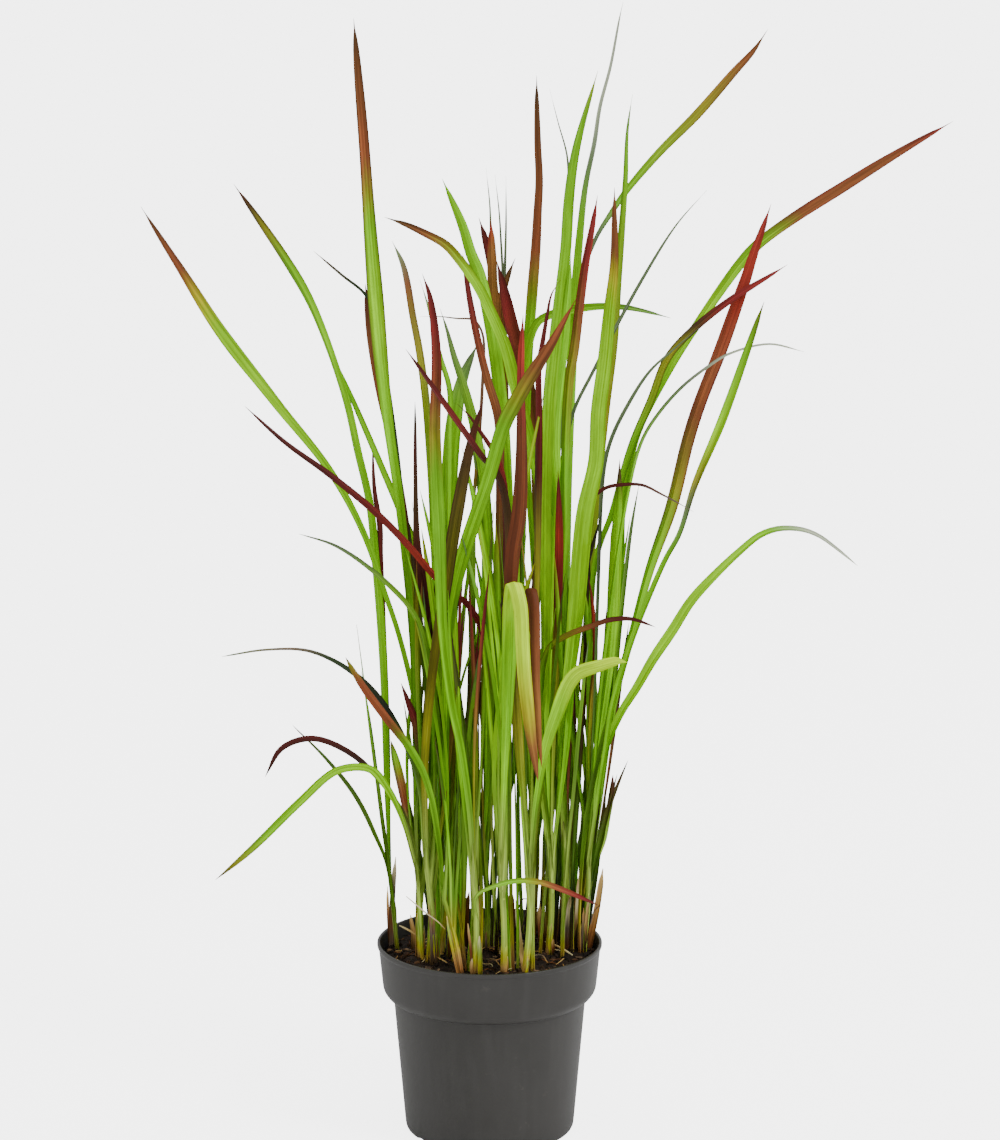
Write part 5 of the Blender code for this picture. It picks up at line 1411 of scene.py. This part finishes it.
def add_crumbs():
    """Loose compost: clods, and flat flakes of bark."""
    bm = bmesh.new()
    bmesh.ops.create_icosphere(bm, subdivisions=2, radius=1.0)
    ball = np.array([v.co[:] for v in bm.verts])
    ball_faces = [tuple(v.index for v in f.verts) for f in bm.faces]
    bm.free()
    for name, count, small, large, flat, lump, tints in CRUMBS:
        rng = random.Random(name)
        shape = Shape()
        for k in range(count):
            r, a = 62.0 * math.sqrt(rng.random()), rng.uniform(0, math.tau)
            r = SOIL_REACH - 1 if r > SOIL_REACH else r
            x, y = r * math.cos(a), r * math.sin(a)
            size = small + (large - small) * rng.random() ** 2.2
            stretch = np.array([1.0, rng.uniform(0.45, 0.9), flat * rng.uniform(0.7, 1.2)])
            bumps = [wobble(*(p * 1.6 + (k, 2.0 * k, 5.0))) for p in ball]
            co = ball * (1 + 1.8 * lump * np.array(bumps))[:, None] * stretch * size
            turn, tilt = rng.uniform(0, math.tau), rng.uniform(-0.5, 0.5)
            co = spun(spun(co, 0, 2, tilt), 0, 1, turn)
            co = co + (x, y, ground(x, y) + 0.35 * size * flat)
            shade = rng.uniform(0.7, 1.3)
            tint = np.tile(np.array(rng.choice(tints)) * shade, (len(co), 1))
            shape.add(co, tint, co, ball_faces)
        shape.make(name, "potting_soil", crease=40.0)


def lay_fibre(shape, points, thick, look, key, samples=22):
    """A round tapering fibre through the points."""
    curve = resample(spline(points), samples)
    wide, face = frames(curve, 0, 40)
    s = np.linspace(0, 1, samples)
    radius = 0.5 * thick * (0.35 + 0.65 * np.sin(math.pi * np.clip(s, 0.04, 0.96)) ** 0.5)
    around = 7
    a = np.linspace(0, math.tau, around, endpoint=False)[:, None]
    rings = (curve[:, None] + radius[:, None, None]
             * (np.cos(a) * wide[:, None] + np.sin(a) * face[:, None]))
    tint = colour_at(look, s) * (1 + 0.15 * np.sin(key + 9 * s))[:, None]
    shape.rings(rings, np.repeat(tint[:, None], around, 1),
                strip_places(s * 40, a[:, 0] * thick, key), [tuple(range(around))])


# Straws and roots that lie in plain view: points, thickness, colours.
STRAWS = (
    ([(-52, -4, 122), (-46, -6, 119.5), (-40, -8, 116)], 1.2, "0 bone .5 straw 1 tan"),
    ([(-47, -30, 147), (-42, -31, 143), (-36, -32, 138), (-29, -33, 133), (-25, -34, 129)],
     0.8, "0 bone .6 bone 1 straw"),
    ([(32, 12, 107.3), (40, 0, 107.8), (47.5, -13, 107.2)], 1.4, "0 bone .5 straw 1 bone"),
    ([(-38, -14, 107), (-30, -20, 108), (-24, -27, 107)], 0.9, "0 tan 1 straw"),
    ([(58, -8, 124), (60, -7, 131), (63.5, -6, 135)], 0.8, "0 ash 1 umber"),
    ([(18, 30, 106), (24, 33, 124), (30, 34, 112)], 0.8, "0 ash 1 umber"),
    ([(14, 34, 106), (20, 30, 128), (28, 31, 122), (30, 30, 112)], 0.7, "0 ash 1 umber"),
    ([(-2, -20, 107), (3, -26, 108.5), (6, -32, 107)], 0.8, "0 ash 1 tan"),
    ([(24, -14, 107), (30, -20, 109), (33, -27, 107)], 0.9, "0 bone .5 ash 1 tan"),
)


def add_straw():
    """Straw, fine roots and wisps lying on the compost."""
    shape = Shape()
    for k, (points, thick, look) in enumerate(STRAWS):
        lay_fibre(shape, points, thick, look, 200.0 + k)
    rng = random.Random("straw")
    for k in range(90):
        r, a = 56.0 * math.sqrt(rng.random()), rng.uniform(0, math.tau)
        x, y = r * math.cos(a), r * math.sin(a)
        heading, bend = rng.uniform(0, math.tau), rng.uniform(-1.2, 1.2)
        step = rng.uniform(1.2, 4.6)
        points = []
        for _ in range(4):
            inside = min(1.0, SOIL_REACH / max(1.0, math.hypot(x, y)))
            x, y = x * inside, y * inside
            points.append((x, y, ground(x, y) + 0.3 + rng.uniform(0, 1.0)))
            x, y = x + step * math.cos(heading), y + step * math.sin(heading)
            heading += bend * 0.5
        look = rng.choice(["0 straw 1 tan", "0 tan 1 brown", "0 bone 1 straw", "0 umber 1 brown",
                           "0 ash 1 umber", "0 brown 1 umber"])
        lay_fibre(shape, points, rng.uniform(0.35, 0.9), look, 220.0 + k, samples=12)
    shape.make("straw_and_roots", "stalk_dry", crease=60.0)


# ------------------------------------------------------------------ studio
BACKDROP = 4.0          # how much brighter than its own light the plain backdrop looks
SKY = 0.96              # strength of the even light from all round
CAMERA_TILT = 9.5       # degrees below the level
WHITE = (1.0, 1.0, 1.0)


def add_light(name, place, target, size, power, colour):
    lamp = bpy.data.lights.new(name, "AREA")
    lamp.shape = "DISK"
    lamp.size = size
    lamp.energy = power
    lamp.color = colour
    obj = new_object(name, lamp)
    obj.location = place
    obj.rotation_euler = (Vector(target) - obj.location).to_track_quat("-Z", "Y").to_euler()


def add_floor():
    """A pale floor, lit like any other but seen as bright as the sky."""
    bm = bmesh.new()
    bmesh.ops.create_grid(bm, x_segments=1, y_segments=1, size=40.0)
    floor = new_object("floor", mesh_of("floor", bm))
    g = Surface("floor", 0.9, 0.1)
    tone = g.remap(g.speckle(g.place(), 0.6, 2.0), 0.3, 0.7, 0, 1)
    g.set("Base Color", g.blend(tone, (0.90, 0.90, 0.90), (0.92, 0.92, 0.92)))
    glow, unlit = g.node("Emission", WHITE, BACKDROP), g.node("Emission", WHITE, 0.0)
    total = g.node("AddShader", g.shader.outputs[0], g.camera_sees(glow, unlit))
    g.plug(total.outputs[0], g.tree.nodes["Material Output"].inputs["Surface"])
    floor.data.materials.append(g.mat)


def add_sky():
    """Even light from all round, seen by the camera as a bright plain ground."""
    world = bpy.data.worlds.new("studio")
    bpy.context.scene.world = world
    g = Graph(world)
    light = g.fill(g.tree.nodes["Background"], WHITE, SKY)
    seen = g.node("Background", WHITE, BACKDROP + 0.9)
    g.plug(g.camera_sees(seen, light), g.tree.nodes["World Output"].inputs["Surface"])


def add_studio():
    add_floor()
    add_sky()
    add_light("key", (1.5, -1.1, 1.7), (0.02, 0, 0.35), 0.6, 26, WHITE)
    add_light("fill", (-1.6, -1.5, 0.9), (0, 0, 0.3), 1.6, 1.6, (1.0, 0.96, 0.90))
    camera = new_object("camera", bpy.data.cameras.new("camera"))
    camera.location = (0.006, -1.5, 0.58)
    camera.rotation_euler = (math.radians(90 - CAMERA_TILT), 0, 0)
    camera.data.lens = 85.0
    camera.data.sensor_width = 36.0
    camera.data.clip_end = 100.0
    bpy.context.scene.camera = camera


add_studio()
add_pot()
add_soil()
add_crumbs()
add_straw()
add_stalks()
add_stubs()
add_large_blades(part_blades(blade_routes()))
add_small_blades()
